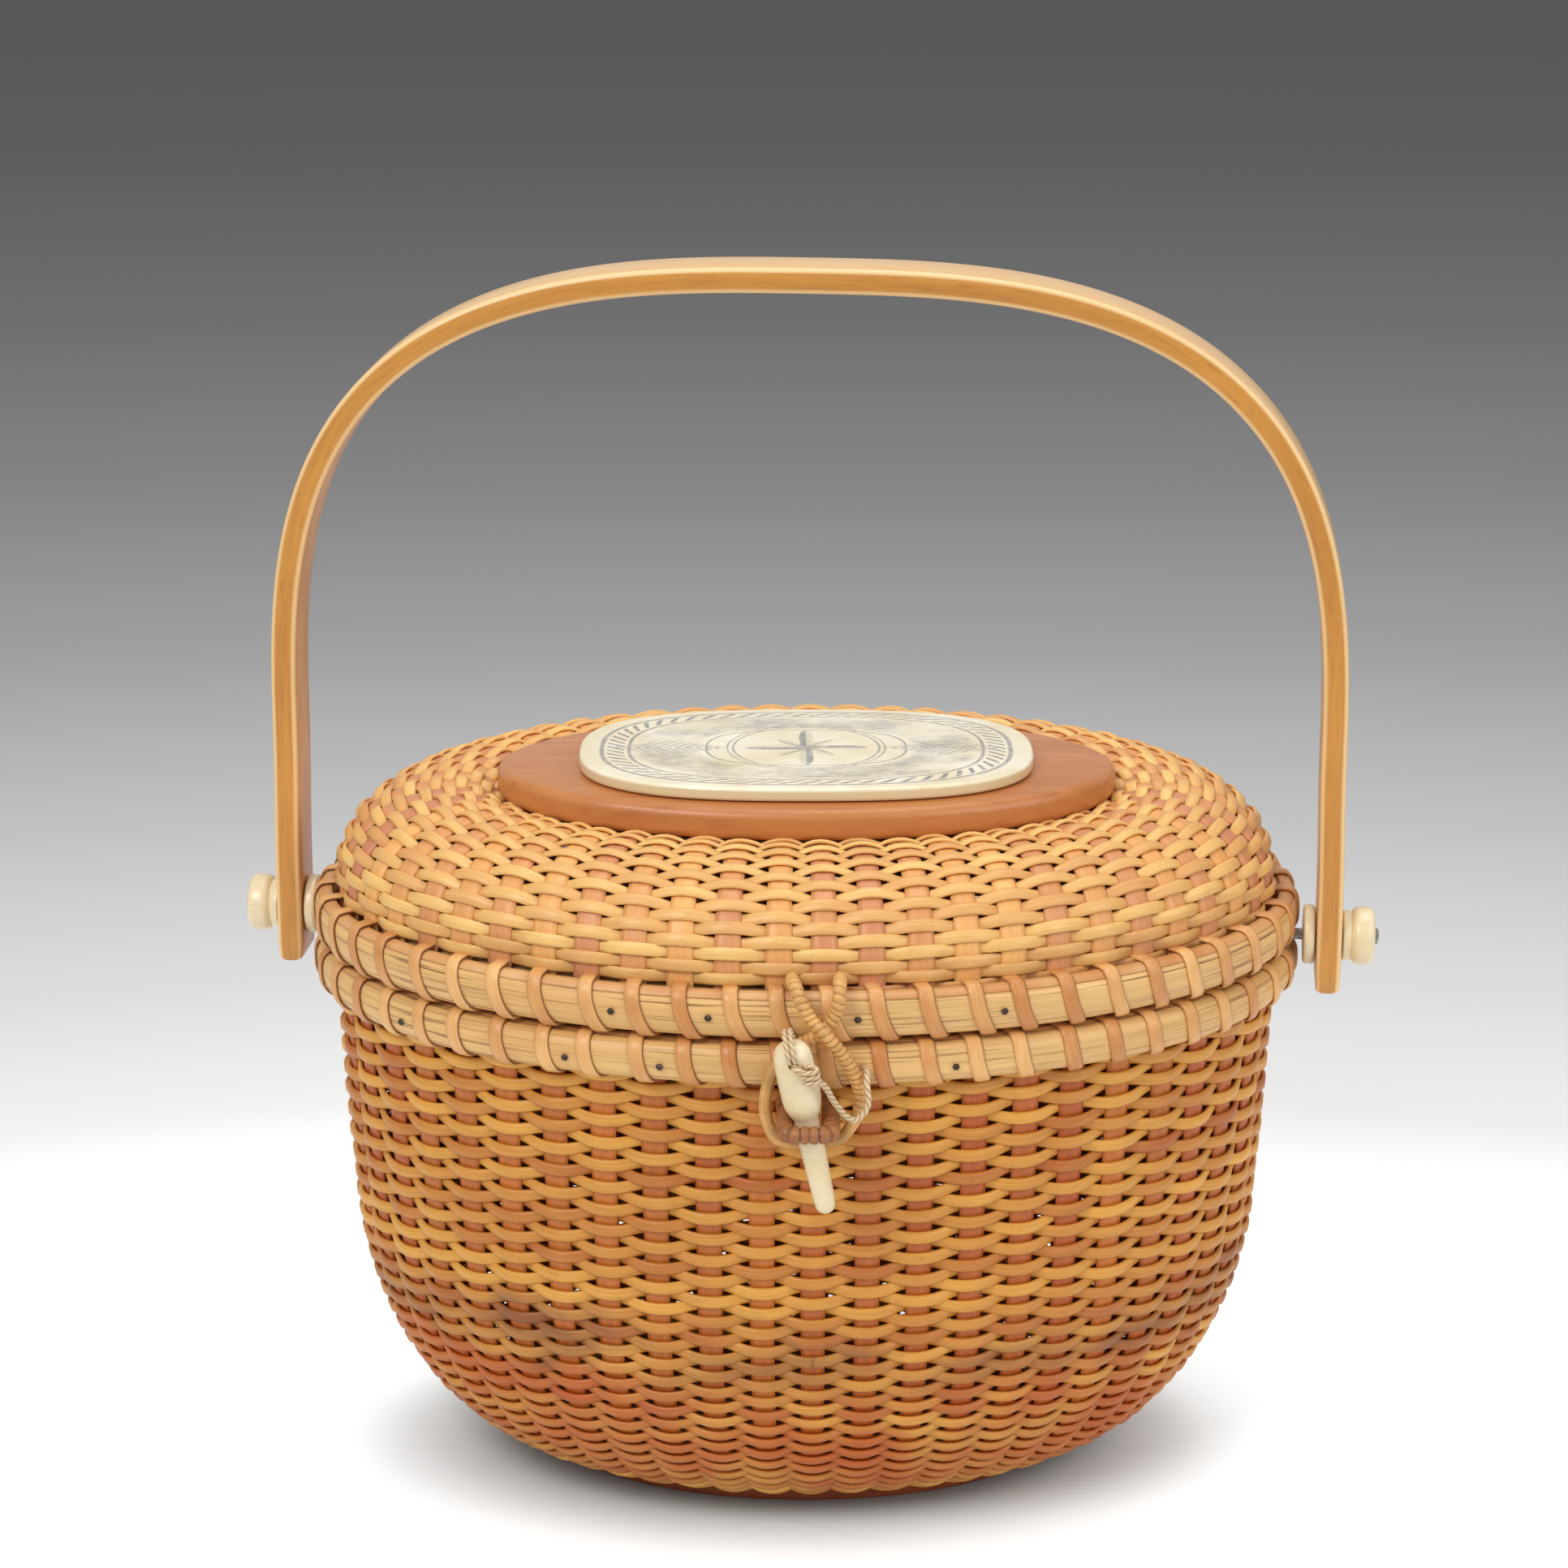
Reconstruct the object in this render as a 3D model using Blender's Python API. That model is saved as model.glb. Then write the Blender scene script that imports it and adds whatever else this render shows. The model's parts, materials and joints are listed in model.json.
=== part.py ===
"""Lidded oval basket with a swing handle, built as separate pieces.

Units are metres and +Z is up. The part stands on z = 0 with its long axis
along X and its front towards -Y.
"""
import math

import bmesh
import bpy
from mathutils import Matrix, Vector

# Clearances
GAP = 0.0003
HOOP_GAP = 0.0006
FOOT_GAP = 0.0007
OVERRUN = 0.004

# Rims, over their lashing
RIM_LENGTH = 0.243
RIM_WIDTH = 0.172
SEAM_Z = 0.1363
HOOP_H = 0.0082
OUTER_HOOP_T = 0.0048
INNER_HOOP_T = 0.0036
HOOP_CHAMFER = 0.0012
CAP_T = 0.0008
FILLER_T = 0.0012
FILLER_CHAMFER = 0.0004

# Lashing
BAND_COUNT = 56
BAND_W = 0.0038
BAND_T = 0.0006
BAND_RISE_SHARE = 0.09
BAND_OVER_SHARE = 0.03
BAND_UNDER_SHARE = 0.06
BAND_TURN_SHARE = 0.42
SLOT_SIDE = 0.0004

# Woven walls
WALL_T = 0.0026
BODY_LOW_LENGTH = 0.224
BODY_BEND_Z = 0.073
BODY_CURVE = 1.85
BODY_LOW_STEPS = 6
RIB_OUT = 0.0005
RIB_IN = 0.0007
BODY_STAVE_SHARE = 0.48
LID_STAVE_SHARE = 0.79
DOME_RISE = 0.0236
DOME_DIP = 0.0032
DOME_BACK_LIFT = 0.0022
DOME_UNDER_BOARD = 0.0008
DOME_CREST_SHARE = 0.73
DOME_CURVE = 2.25
DOME_STEPS = 4
DIP_STEPS = 2

# Boards and plaque
BASE_LENGTH = 0.130
BASE_WIDTH = 0.082
BASE_T = 0.008
WALL_FOOT_Z = 0.0044
LID_BOARD_LENGTH = 0.1506
LID_BOARD_WIDTH = 0.0824
LID_BOARD_T = 0.0068
PLAQUE_LENGTH = 0.1104
PLAQUE_WIDTH = 0.0690
PLAQUE_T = 0.0033
BOARD_CURVE = 2.0
PLAQUE_CURVE = 2.8
BOARD_CHAMFER = 0.0010
OVAL_STEPS = 56

# Handle and its pivots
HANDLE_TOP_Z = 0.3004
HANDLE_T = 0.0061
HANDLE_W = 0.0170
HANDLE_CHAMFER = 0.0010
HANDLE_SPRING = 0.046
HANDLE_DRAW_IN = 0.0006
HANDLE_STRAIGHT = 0.010
HANDLE_TAIL = 0.0125
HANDLE_CURVE = 2.92
HANDLE_STEPS = 36
PIN_R = 0.0014
PIN_HEAD_R = 0.0024
PIN_HEAD_T = 0.0009
PIN_END_R = 0.0020
PIN_END_T = 0.0007
WASHER_R = 0.00725
WASHER_T = 0.0028
WASHER_ROUND = 0.0008
KNOB_NECK_R = 0.0062
KNOB_NECK_T = 0.0021
KNOB_R = 0.0071
KNOB_T = 0.0057
KNOB_ROUND = 0.0022
EAR_W = 0.014
EAR_T = 0.003
EAR_ABOVE = 0.008
EAR_BELOW = 0.016
ROVE_R = 0.0038
ROVE_T = 0.0010
ROUND_STEPS = 24
PIN_STEPS = 12
PIN_GAPS_OFF_END = 1

# Hinge loops at the back
HINGE_W = 0.007
HINGE_T = 0.001
HINGE_GAPS_OFF_BACK = 3.5

# Clasp
LOOP_R = 0.0015
LOOP_HALF_W = 0.0105
LOOP_DROP = 0.0223
STAPLE_R = 0.0019
STAPLE_HALF_W = 0.0052
STAPLE_DROP = 0.0161
STAPLE_BEND = 0.0025
STAPLE_INSIDE = 0.0010
PEG_LENGTH = 0.0442
PEG_HEAD_R = 0.0051
PEG_WAIST_R = 0.0025
PEG_HEAD_LENGTH = 0.0200
PEG_ABOVE_STAPLE = 0.0216
PEG_LEAN_X_SHARE = -0.20
PEG_LEAN_Y_SHARE = -0.117
PEG_STEPS = 16
PEG_HOLE_R = 0.0011
PEG_HOLE_DROP = 0.0036
CORD_R = 0.00075
CORD_END_SIDE = 0.0013

# Nails in the outer hoops
TACK_HEAD_R = 0.0009
TACK_HEAD_T = 0.0005
TACK_SHANK_R = 0.0004
TACK_LENGTH = 0.0032
TACK_STEPS = 6
LID_TACK_GAPS = (1, 4, 20, 36, 52, 54)
BODY_TACK_GAPS = (3, 18, 34, 47, 51, 53)

# Sizes that follow from the ones above
SEAM_HALF = GAP / 2
LASH_OUT = WALL_T / 2 + HOOP_GAP + OUTER_HOOP_T + GAP + BAND_T
LASH_IN = WALL_T / 2 + HOOP_GAP + INNER_HOOP_T + GAP + BAND_T
HOOP_OUT = LASH_OUT - BAND_T - GAP
HOOP_IN = LASH_IN - BAND_T - GAP
RIM_A = RIM_LENGTH / 2 - LASH_OUT
RIM_B = RIM_WIDTH / 2 - LASH_OUT
CAP_START = SEAM_HALF + BAND_T + GAP
HOOP_START = CAP_START + CAP_T + GAP
HOOP_END = HOOP_START + HOOP_H
BODY_BAND_END = HOOP_END + GAP
LID_BAND_END = HOOP_END + GAP + FILLER_T + GAP
BODY_RIM_END = BODY_BAND_END + BAND_T
LID_RIM_END = LID_BAND_END + BAND_T
PIVOT_Z = SEAM_Z - SEAM_HALF + GAP + PIN_R
DOME_Z = SEAM_Z + LID_RIM_END + GAP
LID_BOARD_Z = DOME_Z + DOME_RISE - DOME_DIP + WALL_T / 2 + GAP
PLAQUE_Z = LID_BOARD_Z + LID_BOARD_T + GAP

COLOURS = {
    "wood": ((0.62, 0.34, 0.13), 0.45, 0.0),
    "cherry": ((0.36, 0.15, 0.07), 0.30, 0.0),
    "weave": ((0.70, 0.45, 0.20), 0.55, 0.0),
    "hoop": ((0.74, 0.56, 0.28), 0.50, 0.0),
    "cane": ((0.78, 0.52, 0.31), 0.50, 0.0),
    "ivory": ((0.85, 0.80, 0.62), 0.30, 0.0),
    "metal": ((0.45, 0.42, 0.38), 0.45, 1.0),
    "nail": ((0.16, 0.12, 0.08), 0.55, 1.0),
    "linen": ((0.80, 0.77, 0.68), 0.85, 0.0),
}


def clear_scene():
    """Remove every object of the open scene."""
    for item in list(bpy.data.objects):
        bpy.data.objects.remove(item, do_unlink=True)


def add_material(item, look):
    """Give an object its own material."""
    colour, roughness, metallic = COLOURS[look]
    material = bpy.data.materials.new(item.name + "_material")
    material.use_nodes = True
    shader = material.node_tree.nodes["Principled BSDF"]
    shader.inputs["Base Color"].default_value = (*colour, 1.0)
    shader.inputs["Roughness"].default_value = roughness
    shader.inputs["Metallic"].default_value = metallic
    item.data.materials.append(material)


def link_mesh(name, bm, look=None):
    """Turn a bmesh into an object, with a material when a look is named."""
    bmesh.ops.recalc_face_normals(bm, faces=bm.faces)
    mesh = bpy.data.meshes.new(name)
    bm.to_mesh(mesh)
    bm.free()
    item = bpy.data.objects.new(name, mesh)
    bpy.context.collection.objects.link(item)
    if look:
        mesh.shade_smooth()
        mesh.set_sharp_from_angle(angle=math.radians(35.0))
        add_material(item, look)
    return item


def loft_into(bm, rings, closed):
    """Join rings of points with quads, round in a circle or capped at both ends."""
    rows = [[bm.verts.new(point) for point in ring] for ring in rings]
    count = len(rows[0])
    last = len(rows) if closed else len(rows) - 1
    for index in range(last):
        low = rows[index]
        high = rows[(index + 1) % len(rows)]
        for step in range(count):
            after = (step + 1) % count
            bm.faces.new((low[step], low[after], high[after], high[step]))
    if not closed:
        bm.faces.new(rows[0])
        bm.faces.new(rows[-1])


def loft(name, rings, closed, look):
    """Make one object from rings of points."""
    bm = bmesh.new()
    loft_into(bm, rings, closed)
    return link_mesh(name, bm, look)


def cut(item, cutter):
    """Cut one object out of another."""
    modifier = item.modifiers.new("cut_" + cutter.name, "BOOLEAN")
    modifier.operation = "DIFFERENCE"
    modifier.solver = "EXACT"
    modifier.object = cutter
    cutter.hide_render = True
    cutter.display_type = "WIRE"


# Ovals

def oval_point(half_a, half_b, angle, offset, z):
    """Return a point at an offset outside an ellipse."""
    normal = Vector((half_b * math.cos(angle), half_a * math.sin(angle), 0.0)).normalized()
    point = Vector((half_a * math.cos(angle), half_b * math.sin(angle), z))
    return point + normal * offset


def rim_angle_table():
    """Return the lengths along the rim's oval, from the front centre, at equal angles."""
    count = 1440
    total = 0.0
    lengths = [0.0]
    last = oval_point(RIM_A, RIM_B, -math.pi / 2, 0.0, 0.0)
    for step in range(1, count + 1):
        point = oval_point(RIM_A, RIM_B, -math.pi / 2 + math.tau * step / count, 0.0, 0.0)
        total += (point - last).length
        lengths.append(total)
        last = point
    return lengths


RIM_TABLE = rim_angle_table()
PITCH = RIM_TABLE[-1] / BAND_COUNT


def rim_angle(place):
    """Return the oval's angle at a place counted in lashing turns from the front centre."""
    turns, rest = divmod(place, BAND_COUNT)
    target = rest * PITCH
    low = 0
    high = len(RIM_TABLE) - 1
    while high - low > 1:
        middle = (low + high) // 2
        if RIM_TABLE[middle] <= target:
            low = middle
        else:
            high = middle
    part = (target - RIM_TABLE[low]) / (RIM_TABLE[high] - RIM_TABLE[low])
    share = (low + part) / (len(RIM_TABLE) - 1)
    return -math.pi / 2 + math.tau * (turns + share)


def rim_point(place, offset, z):
    """Return a point of the rim at a place counted in lashing turns."""
    return oval_point(RIM_A, RIM_B, rim_angle(place), offset, z)


def rim_ring(name, section, look):
    """Sweep a section of (offset, z) points round the rim, a corner at each lashing turn."""
    rings = []
    for turn in range(BAND_COUNT):
        rings.append([rim_point(turn + 0.5, offset, z) for offset, z in section])
    return loft(name, rings, True, look)


def rim_arc(name, section, start, end, look):
    """Sweep a section of (offset, z) points along part of the rim."""
    places = [start]
    turn = math.floor(start) + 0.5
    while turn < end:
        if turn > start:
            places.append(turn)
        turn += 1.0
    places.append(end)
    rings = []
    for place in places:
        rings.append([rim_point(place, offset, z) for offset, z in section])
    return loft(name, rings, False, look)


def gap_frame(turn, offset, z):
    """Return the middle of a rim face between two lashing turns, and its outward normal."""
    left = rim_point(turn - 0.5, offset, z)
    right = rim_point(turn + 0.5, offset, z)
    along = (right - left).normalized()
    return (left + right) / 2, Vector((along.y, -along.x, 0.0))


def oval_board(name, length, width, thickness, curve, z, look):
    """Make an oval board with chamfered edges; a curve above 2 makes its outline fuller."""
    rings = []
    levels = (
        (BOARD_CHAMFER, z),
        (0.0, z + BOARD_CHAMFER),
        (0.0, z + thickness - BOARD_CHAMFER),
        (BOARD_CHAMFER, z + thickness),
    )
    for inset, level in levels:
        ring = []
        for step in range(OVAL_STEPS):
            angle = math.tau * (step + 0.5) / OVAL_STEPS
            cosine, sine = math.cos(angle), math.sin(angle)
            x = math.copysign(abs(cosine) ** (2 / curve), cosine) * (length / 2 - inset)
            y = math.copysign(abs(sine) ** (2 / curve), sine) * (width / 2 - inset)
            ring.append(Vector((x, y, level)))
        rings.append(ring)
    return loft(name, rings, False, look)


# Walls

def slot_sides(hand):
    """Return the oval's angles at both sides of every slot."""
    half = (BAND_W / 2 + SLOT_SIDE) / PITCH + slot_drift() / 2
    angles = []
    for turn in range(BAND_COUNT):
        middle = turn + hand * slot_place()
        angles.append(rim_angle(middle - half))
        angles.append(rim_angle(middle + half))
    return angles


def rib_points(hand, stave):
    """Return the oval's angles on the staves and between them, and how far each stands out.

    The two points of a turn go with the two sides of its slot, in the same order.
    """
    first = hand * slot_place() - 0.5
    pair = []
    for place, rise in ((stave, RIB_OUT), (stave + 0.5, -RIB_IN)):
        pair.append((first + (place - first) % 1.0, rise))
    pair.sort()
    points = []
    for turn in range(BAND_COUNT):
        for place, rise in pair:
            points.append((rim_angle(turn + place), rise))
    return points


def wall_rows(profile, slot_row, hand, stave):
    """Turn a profile of (half_a, half_b, z, lift, rib) into outer and inner rows of points."""
    slots = [(angle, 0.0) for angle in slot_sides(hand)]
    ribs = rib_points(hand, stave)
    outer = []
    inner = []
    for index, (half_a, half_b, z, lift, rib) in enumerate(profile):
        before = profile[max(index - 1, 0)]
        after = profile[min(index + 1, len(profile) - 1)]
        normal = Vector((after[2] - before[2], 0.0, before[0] - after[0])).normalized()
        slotted = index in (slot_row, slot_row + 1)
        if slotted:
            normal = Vector((1.0, 0.0, 0.0))
        for rows, side, ribbed in ((outer, WALL_T / 2, rib), (inner, -WALL_T / 2, False)):
            row = []
            for angle, rise in ribs if ribbed else slots:
                reach = side + rise
                level = z + normal.z * reach + lift * math.sin(angle)
                row.append(oval_point(half_a, half_b, angle, normal.x * reach, level))
            rows.append(row if slotted or ribbed else row[::2])
    return outer, inner


def slot_place():
    """Return where a lashing turn crosses the wall, in turns."""
    crossing = LASH_IN - BAND_T / 2
    width = crossing + LASH_OUT - BAND_T / 2
    return 0.5 - BAND_RISE_SHARE / 2 - BAND_UNDER_SHARE * (1 - crossing / width)


def slot_drift():
    """Return how far a lashing turn shifts inside the wall, in turns."""
    return BAND_UNDER_SHARE * WALL_T / (LASH_IN + LASH_OUT - BAND_T)


def wall_strip(bm, low, high):
    """Join two rows of a wall, one of which may have twice the points of the other."""
    count = min(len(low), len(high))
    low_step = len(low) // count
    high_step = len(high) // count
    for column in range(count):
        face = [low[column * low_step + step] for step in range(low_step)]
        face.append(low[(column + 1) * low_step % len(low)])
        back = [high[(column + 1) * high_step % len(high)]]
        for step in range(high_step - 1, -1, -1):
            back.append(high[column * high_step + step])
        bm.faces.new(face + back)


def slotted_wall(name, profile, slot_row, hand, stave, look):
    """Make a closed wall from its profile, ribbed by its staves, with a row of lashing slots."""
    bm = bmesh.new()
    skins = []
    for rows in wall_rows(profile, slot_row, hand, stave):
        skins.append([[bm.verts.new(point) for point in row] for row in rows])
    outer, inner = skins
    for skin in skins:
        for row in range(len(skin) - 1):
            if row != slot_row:
                wall_strip(bm, skin[row], skin[row + 1])
    for end in (0, -1):
        wall_strip(bm, outer[end], inner[end])
    o_low, o_high = outer[slot_row], outer[slot_row + 1]
    i_low, i_high = inner[slot_row], inner[slot_row + 1]
    for left in range(0, len(o_low), 2):
        right = left + 1
        after = (left + 2) % len(o_low)
        bm.faces.new((o_low[left], o_low[right], i_low[right], i_low[left]))
        bm.faces.new((o_high[left], i_high[left], i_high[right], o_high[right]))
        bm.faces.new((o_low[left], i_low[left], i_high[left], o_high[left]))
        bm.faces.new((o_low[right], o_high[right], i_high[right], i_low[right]))
        bm.faces.new((o_low[right], o_low[after], o_high[after], o_high[right]))
        bm.faces.new((i_low[right], i_high[right], i_high[after], i_low[after]))
    bmesh.ops.triangulate(bm, faces=bm.faces)
    return link_mesh(name, bm, look)


def body_profile():
    """Return the body wall's levels from the base board up, and its slot row."""
    foot_a = BASE_LENGTH / 2 + FOOT_GAP
    foot_b = BASE_WIDTH / 2 + FOOT_GAP
    bend_share = (BODY_LOW_LENGTH / 2 - WALL_T / 2 - foot_a) / (RIM_A - foot_a)
    slot_z = SEAM_Z - BODY_BAND_END - BAND_T / 2
    slot_half = BAND_T / 2 + GAP
    shares = []
    for step in range(BODY_LOW_STEPS + 1):
        angle = math.pi / 2 * (1 - step / BODY_LOW_STEPS)
        out = math.cos(angle) ** (2 / BODY_CURVE) if step else 0.0
        up = 1 - math.sin(angle) ** (2 / BODY_CURVE) if step < BODY_LOW_STEPS else 1.0
        shares.append((bend_share * out, WALL_FOOT_Z + (BODY_BEND_Z - WALL_FOOT_Z) * up))
    straight = 1 - bend_share
    rise = slot_z - slot_half - BODY_BEND_Z
    shares.append((bend_share + straight / 2, BODY_BEND_Z + rise / 2))
    slot_row = len(shares)
    shares.append((1.0, slot_z - slot_half))
    shares.append((1.0, slot_z + slot_half))
    shares.append((1.0, SEAM_Z - HOOP_START))
    profile = []
    for row, (share, z) in enumerate(shares):
        half_a = foot_a + (RIM_A - foot_a) * share
        half_b = foot_b + (RIM_B - foot_b) * share
        profile.append((half_a, half_b, z, 0.0, row < slot_row))
    return profile, slot_row


def lid_profile():
    """Return the lid wall's levels from the rim over its crest to the board, and its slot row."""
    slot_z = SEAM_Z + LID_BAND_END + BAND_T / 2
    slot_half = BAND_T / 2 + GAP
    profile = [
        (RIM_A, RIM_B, SEAM_Z + HOOP_START, 0.0, False),
        (RIM_A, RIM_B, slot_z - slot_half, 0.0, False),
        (RIM_A, RIM_B, slot_z + slot_half, 0.0, False),
    ]
    top_a = LID_BOARD_LENGTH / 2 - DOME_UNDER_BOARD
    top_b = LID_BOARD_WIDTH / 2 - DOME_UNDER_BOARD
    levels = []
    for step in range(1, DOME_STEPS + 1):
        angle = math.pi / 2 * step / DOME_STEPS
        out = 1 - math.cos(angle) ** (2 / DOME_CURVE) if step < DOME_STEPS else 1.0
        up = math.sin(angle) ** (2 / DOME_CURVE)
        levels.append((DOME_CREST_SHARE * out, DOME_RISE * up, DOME_BACK_LIFT * up, True))
    for step in range(1, DIP_STEPS + 1):
        share = step / DIP_STEPS
        inset = DOME_CREST_SHARE + (1 - DOME_CREST_SHARE) * share
        dip = share * share
        levels.append((inset, DOME_RISE - DOME_DIP * dip, DOME_BACK_LIFT * (1 - dip), step < DIP_STEPS))
    for share, rise, lift, rib in levels:
        half_a = RIM_A + (top_a - RIM_A) * share
        half_b = RIM_B + (top_b - RIM_B) * share
        profile.append((half_a, half_b, DOME_Z + rise, lift, rib))
    return profile, 1


def lashing(name, sign, far_end, look):
    """Wind one strip round a rim, once to a turn, through the wall's slots.

    Both strips lean the same way in front, so the body's runs round the other way.
    """
    outside = LASH_OUT - BAND_T / 2
    inside = -(LASH_IN - BAND_T / 2)
    near = SEAM_Z + sign * (SEAM_HALF + BAND_T / 2)
    far = SEAM_Z + sign * (far_end + BAND_T / 2)
    bend = near + (far - near) * BAND_TURN_SHARE
    corners = (
        (outside, far, 0.5 - BAND_RISE_SHARE / 2, 1, 1),
        (outside, near, 0.5 + BAND_RISE_SHARE / 2, 1, -1),
        (inside, near, 0.5 + BAND_RISE_SHARE / 2 + BAND_OVER_SHARE, -1, -1),
        (inside, bend, 0.5 + BAND_RISE_SHARE / 2 + BAND_OVER_SHARE, -1, 0),
        (inside, far, 1.5 - BAND_RISE_SHARE / 2 - BAND_UNDER_SHARE, -1, 1),
    )
    half_w = BAND_W / 2 / PITCH
    half_t = BAND_T / 2
    rings = []
    for turn in range(BAND_COUNT):
        for offset, z, place, side, end in corners:
            ring = []
            for across, skin in ((-1, 1), (1, 1), (1, -1), (-1, -1)):
                shift = offset + side * skin * half_t
                level = z + sign * end * skin * half_t
                ring.append(rim_point(sign * (turn + place + across * half_w), shift, level))
            rings.append(ring)
    return loft(name, rings, True, look)


def make_rims():
    """Make both rims: hoops, caps, filler and lashing."""
    for part, sign in (("body", -1), ("lid", 1)):
        start = SEAM_Z + sign * HOOP_START
        end = SEAM_Z + sign * HOOP_END
        low = min(start, end)
        high = max(start, end)
        inner_face = WALL_T / 2 + HOOP_GAP
        outer = (
            (inner_face, low),
            (HOOP_OUT - HOOP_CHAMFER, low),
            (HOOP_OUT, low + HOOP_CHAMFER),
            (HOOP_OUT, high - HOOP_CHAMFER),
            (HOOP_OUT - HOOP_CHAMFER, high),
            (inner_face, high),
        )
        rim_ring(part + "_outer_hoop", outer, "hoop")
        inner = ((-HOOP_IN, low), (-inner_face, low), (-inner_face, high), (-HOOP_IN, high))
        rim_ring(part + "_inner_hoop", inner, "hoop")
        cap_low = min(SEAM_Z + sign * CAP_START, SEAM_Z + sign * (CAP_START + CAP_T))
        cap = (
            (-HOOP_IN, cap_low),
            (HOOP_OUT, cap_low),
            (HOOP_OUT, cap_low + CAP_T),
            (-HOOP_IN, cap_low + CAP_T),
        )
        if part == "body":
            rim_ring("body_rim_cap", cap, "cane")
            continue
        front = BAND_COUNT / 4 - PIN_GAPS_OFF_END
        back = front + BAND_COUNT / 2
        side = (PIN_R + PIN_R + GAP) / PITCH
        rim_arc("lid_rim_cap_back", cap, front + side, back - side, "cane")
        rim_arc("lid_rim_cap_front", cap, back + side, front + BAND_COUNT - side, "cane")
    filler_low = SEAM_Z + HOOP_END + GAP
    filler = (
        (WALL_T / 2 + HOOP_GAP, filler_low),
        (HOOP_OUT, filler_low),
        (HOOP_OUT - FILLER_CHAMFER, filler_low + FILLER_T),
        (WALL_T / 2 + HOOP_GAP, filler_low + FILLER_T),
    )
    rim_ring("lid_rim_filler", filler, "cane")
    lashing("body_lashing", -1, BODY_BAND_END, "cane")
    lashing("lid_lashing", 1, LID_BAND_END, "cane")


# Turned pieces, with their axis along X

def circle(x, radius, steps):
    """Return a ring of points round the X axis."""
    ring = []
    for step in range(steps):
        angle = math.tau * step / steps
        ring.append(Vector((x, radius * math.cos(angle), radius * math.sin(angle))))
    return ring


def turned(name, profile, steps, look):
    """Turn a solid from a profile of (x, radius) points."""
    return loft(name, [circle(x, radius, steps) for x, radius in profile], False, look)


def turned_ring(name, section, steps, look):
    """Turn a ring from a closed section of (x, radius) points."""
    rings = []
    for step in range(steps):
        angle = math.tau * step / steps
        cosine, sine = math.cos(angle), math.sin(angle)
        rings.append([Vector((x, radius * cosine, radius * sine)) for x, radius in section])
    return loft(name, rings, True, look)


def pin_turn():
    """Return the angle of the handle's pin line, which the ears' places set."""
    place = BAND_COUNT / 4 - PIN_GAPS_OFF_END
    point = rim_point(place, 0.0, 0.0)
    return math.atan2(point.y, point.x)


def seat(offset, half_width, keep):
    """Return how far out a rim face reaches along the pin line, over a width."""
    turn = Matrix.Rotation(-pin_turn(), 3, "Z")
    found = []
    for step in range(-90, 91):
        place = BAND_COUNT / 4 - PIN_GAPS_OFF_END + step / 45
        point = turn @ rim_point(place, offset, 0.0)
        if abs(point.y) <= half_width:
            found.append(point.x)
    return keep(found)


def make_pivots():
    """Make both ears with their pins, washers, knobs and roves."""
    hole_r = PIN_R + GAP
    washer_x = seat(LASH_OUT, WASHER_R, max) + GAP
    handle_x = washer_x + WASHER_T + GAP
    knob_x = handle_x + HANDLE_T + GAP
    pin_end_x = knob_x + KNOB_NECK_T + KNOB_T + GAP
    ear_x = seat(-LASH_IN, EAR_W / 2, min) - GAP - EAR_T
    rove_x = ear_x - GAP - ROVE_T
    pin_head_x = rove_x - GAP - PIN_HEAD_T
    for side, angle in (("right", pin_turn()), ("left", pin_turn() + math.pi)):
        pin = turned("pin_" + side, (
            (pin_head_x, PIN_HEAD_R * 0.6),
            (pin_head_x + PIN_HEAD_T / 2, PIN_HEAD_R),
            (pin_head_x + PIN_HEAD_T, PIN_HEAD_R),
            (pin_head_x + PIN_HEAD_T, PIN_R),
            (pin_end_x, PIN_R),
            (pin_end_x, PIN_END_R),
            (pin_end_x + PIN_END_T / 2, PIN_END_R),
            (pin_end_x + PIN_END_T, PIN_END_R * 0.6),
        ), PIN_STEPS, "metal")
        rove = turned_ring("rove_" + side, (
            (rove_x, hole_r),
            (rove_x, ROVE_R),
            (rove_x + ROVE_T, ROVE_R),
            (rove_x + ROVE_T, hole_r),
        ), PIN_STEPS, "metal")
        washer = turned_ring("washer_" + side, (
            (washer_x, hole_r),
            (washer_x, WASHER_R - WASHER_ROUND),
            (washer_x + WASHER_ROUND, WASHER_R),
            (washer_x + WASHER_T - WASHER_ROUND, WASHER_R),
            (washer_x + WASHER_T, WASHER_R - WASHER_ROUND),
            (washer_x + WASHER_T, hole_r),
        ), ROUND_STEPS, "ivory")
        head_x = knob_x + KNOB_NECK_T
        end_x = head_x + KNOB_T
        knob = turned_ring("knob_" + side, (
            (knob_x, hole_r),
            (knob_x, KNOB_NECK_R),
            (head_x, KNOB_NECK_R),
            (head_x + KNOB_ROUND / 3, KNOB_R - KNOB_ROUND / 6),
            (head_x + KNOB_ROUND, KNOB_R),
            (end_x - KNOB_ROUND, KNOB_R),
            (end_x - KNOB_ROUND / 3, KNOB_R - KNOB_ROUND / 3),
            (end_x, KNOB_R - KNOB_ROUND),
            (end_x, hole_r),
        ), ROUND_STEPS, "ivory")
        ear = make_ear("ear_" + side, ear_x)
        for item in (pin, rove, washer, knob, ear):
            item.location = (0.0, 0.0, PIVOT_Z)
            item.rotation_euler = (0.0, 0.0, angle)
    return handle_x


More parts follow.
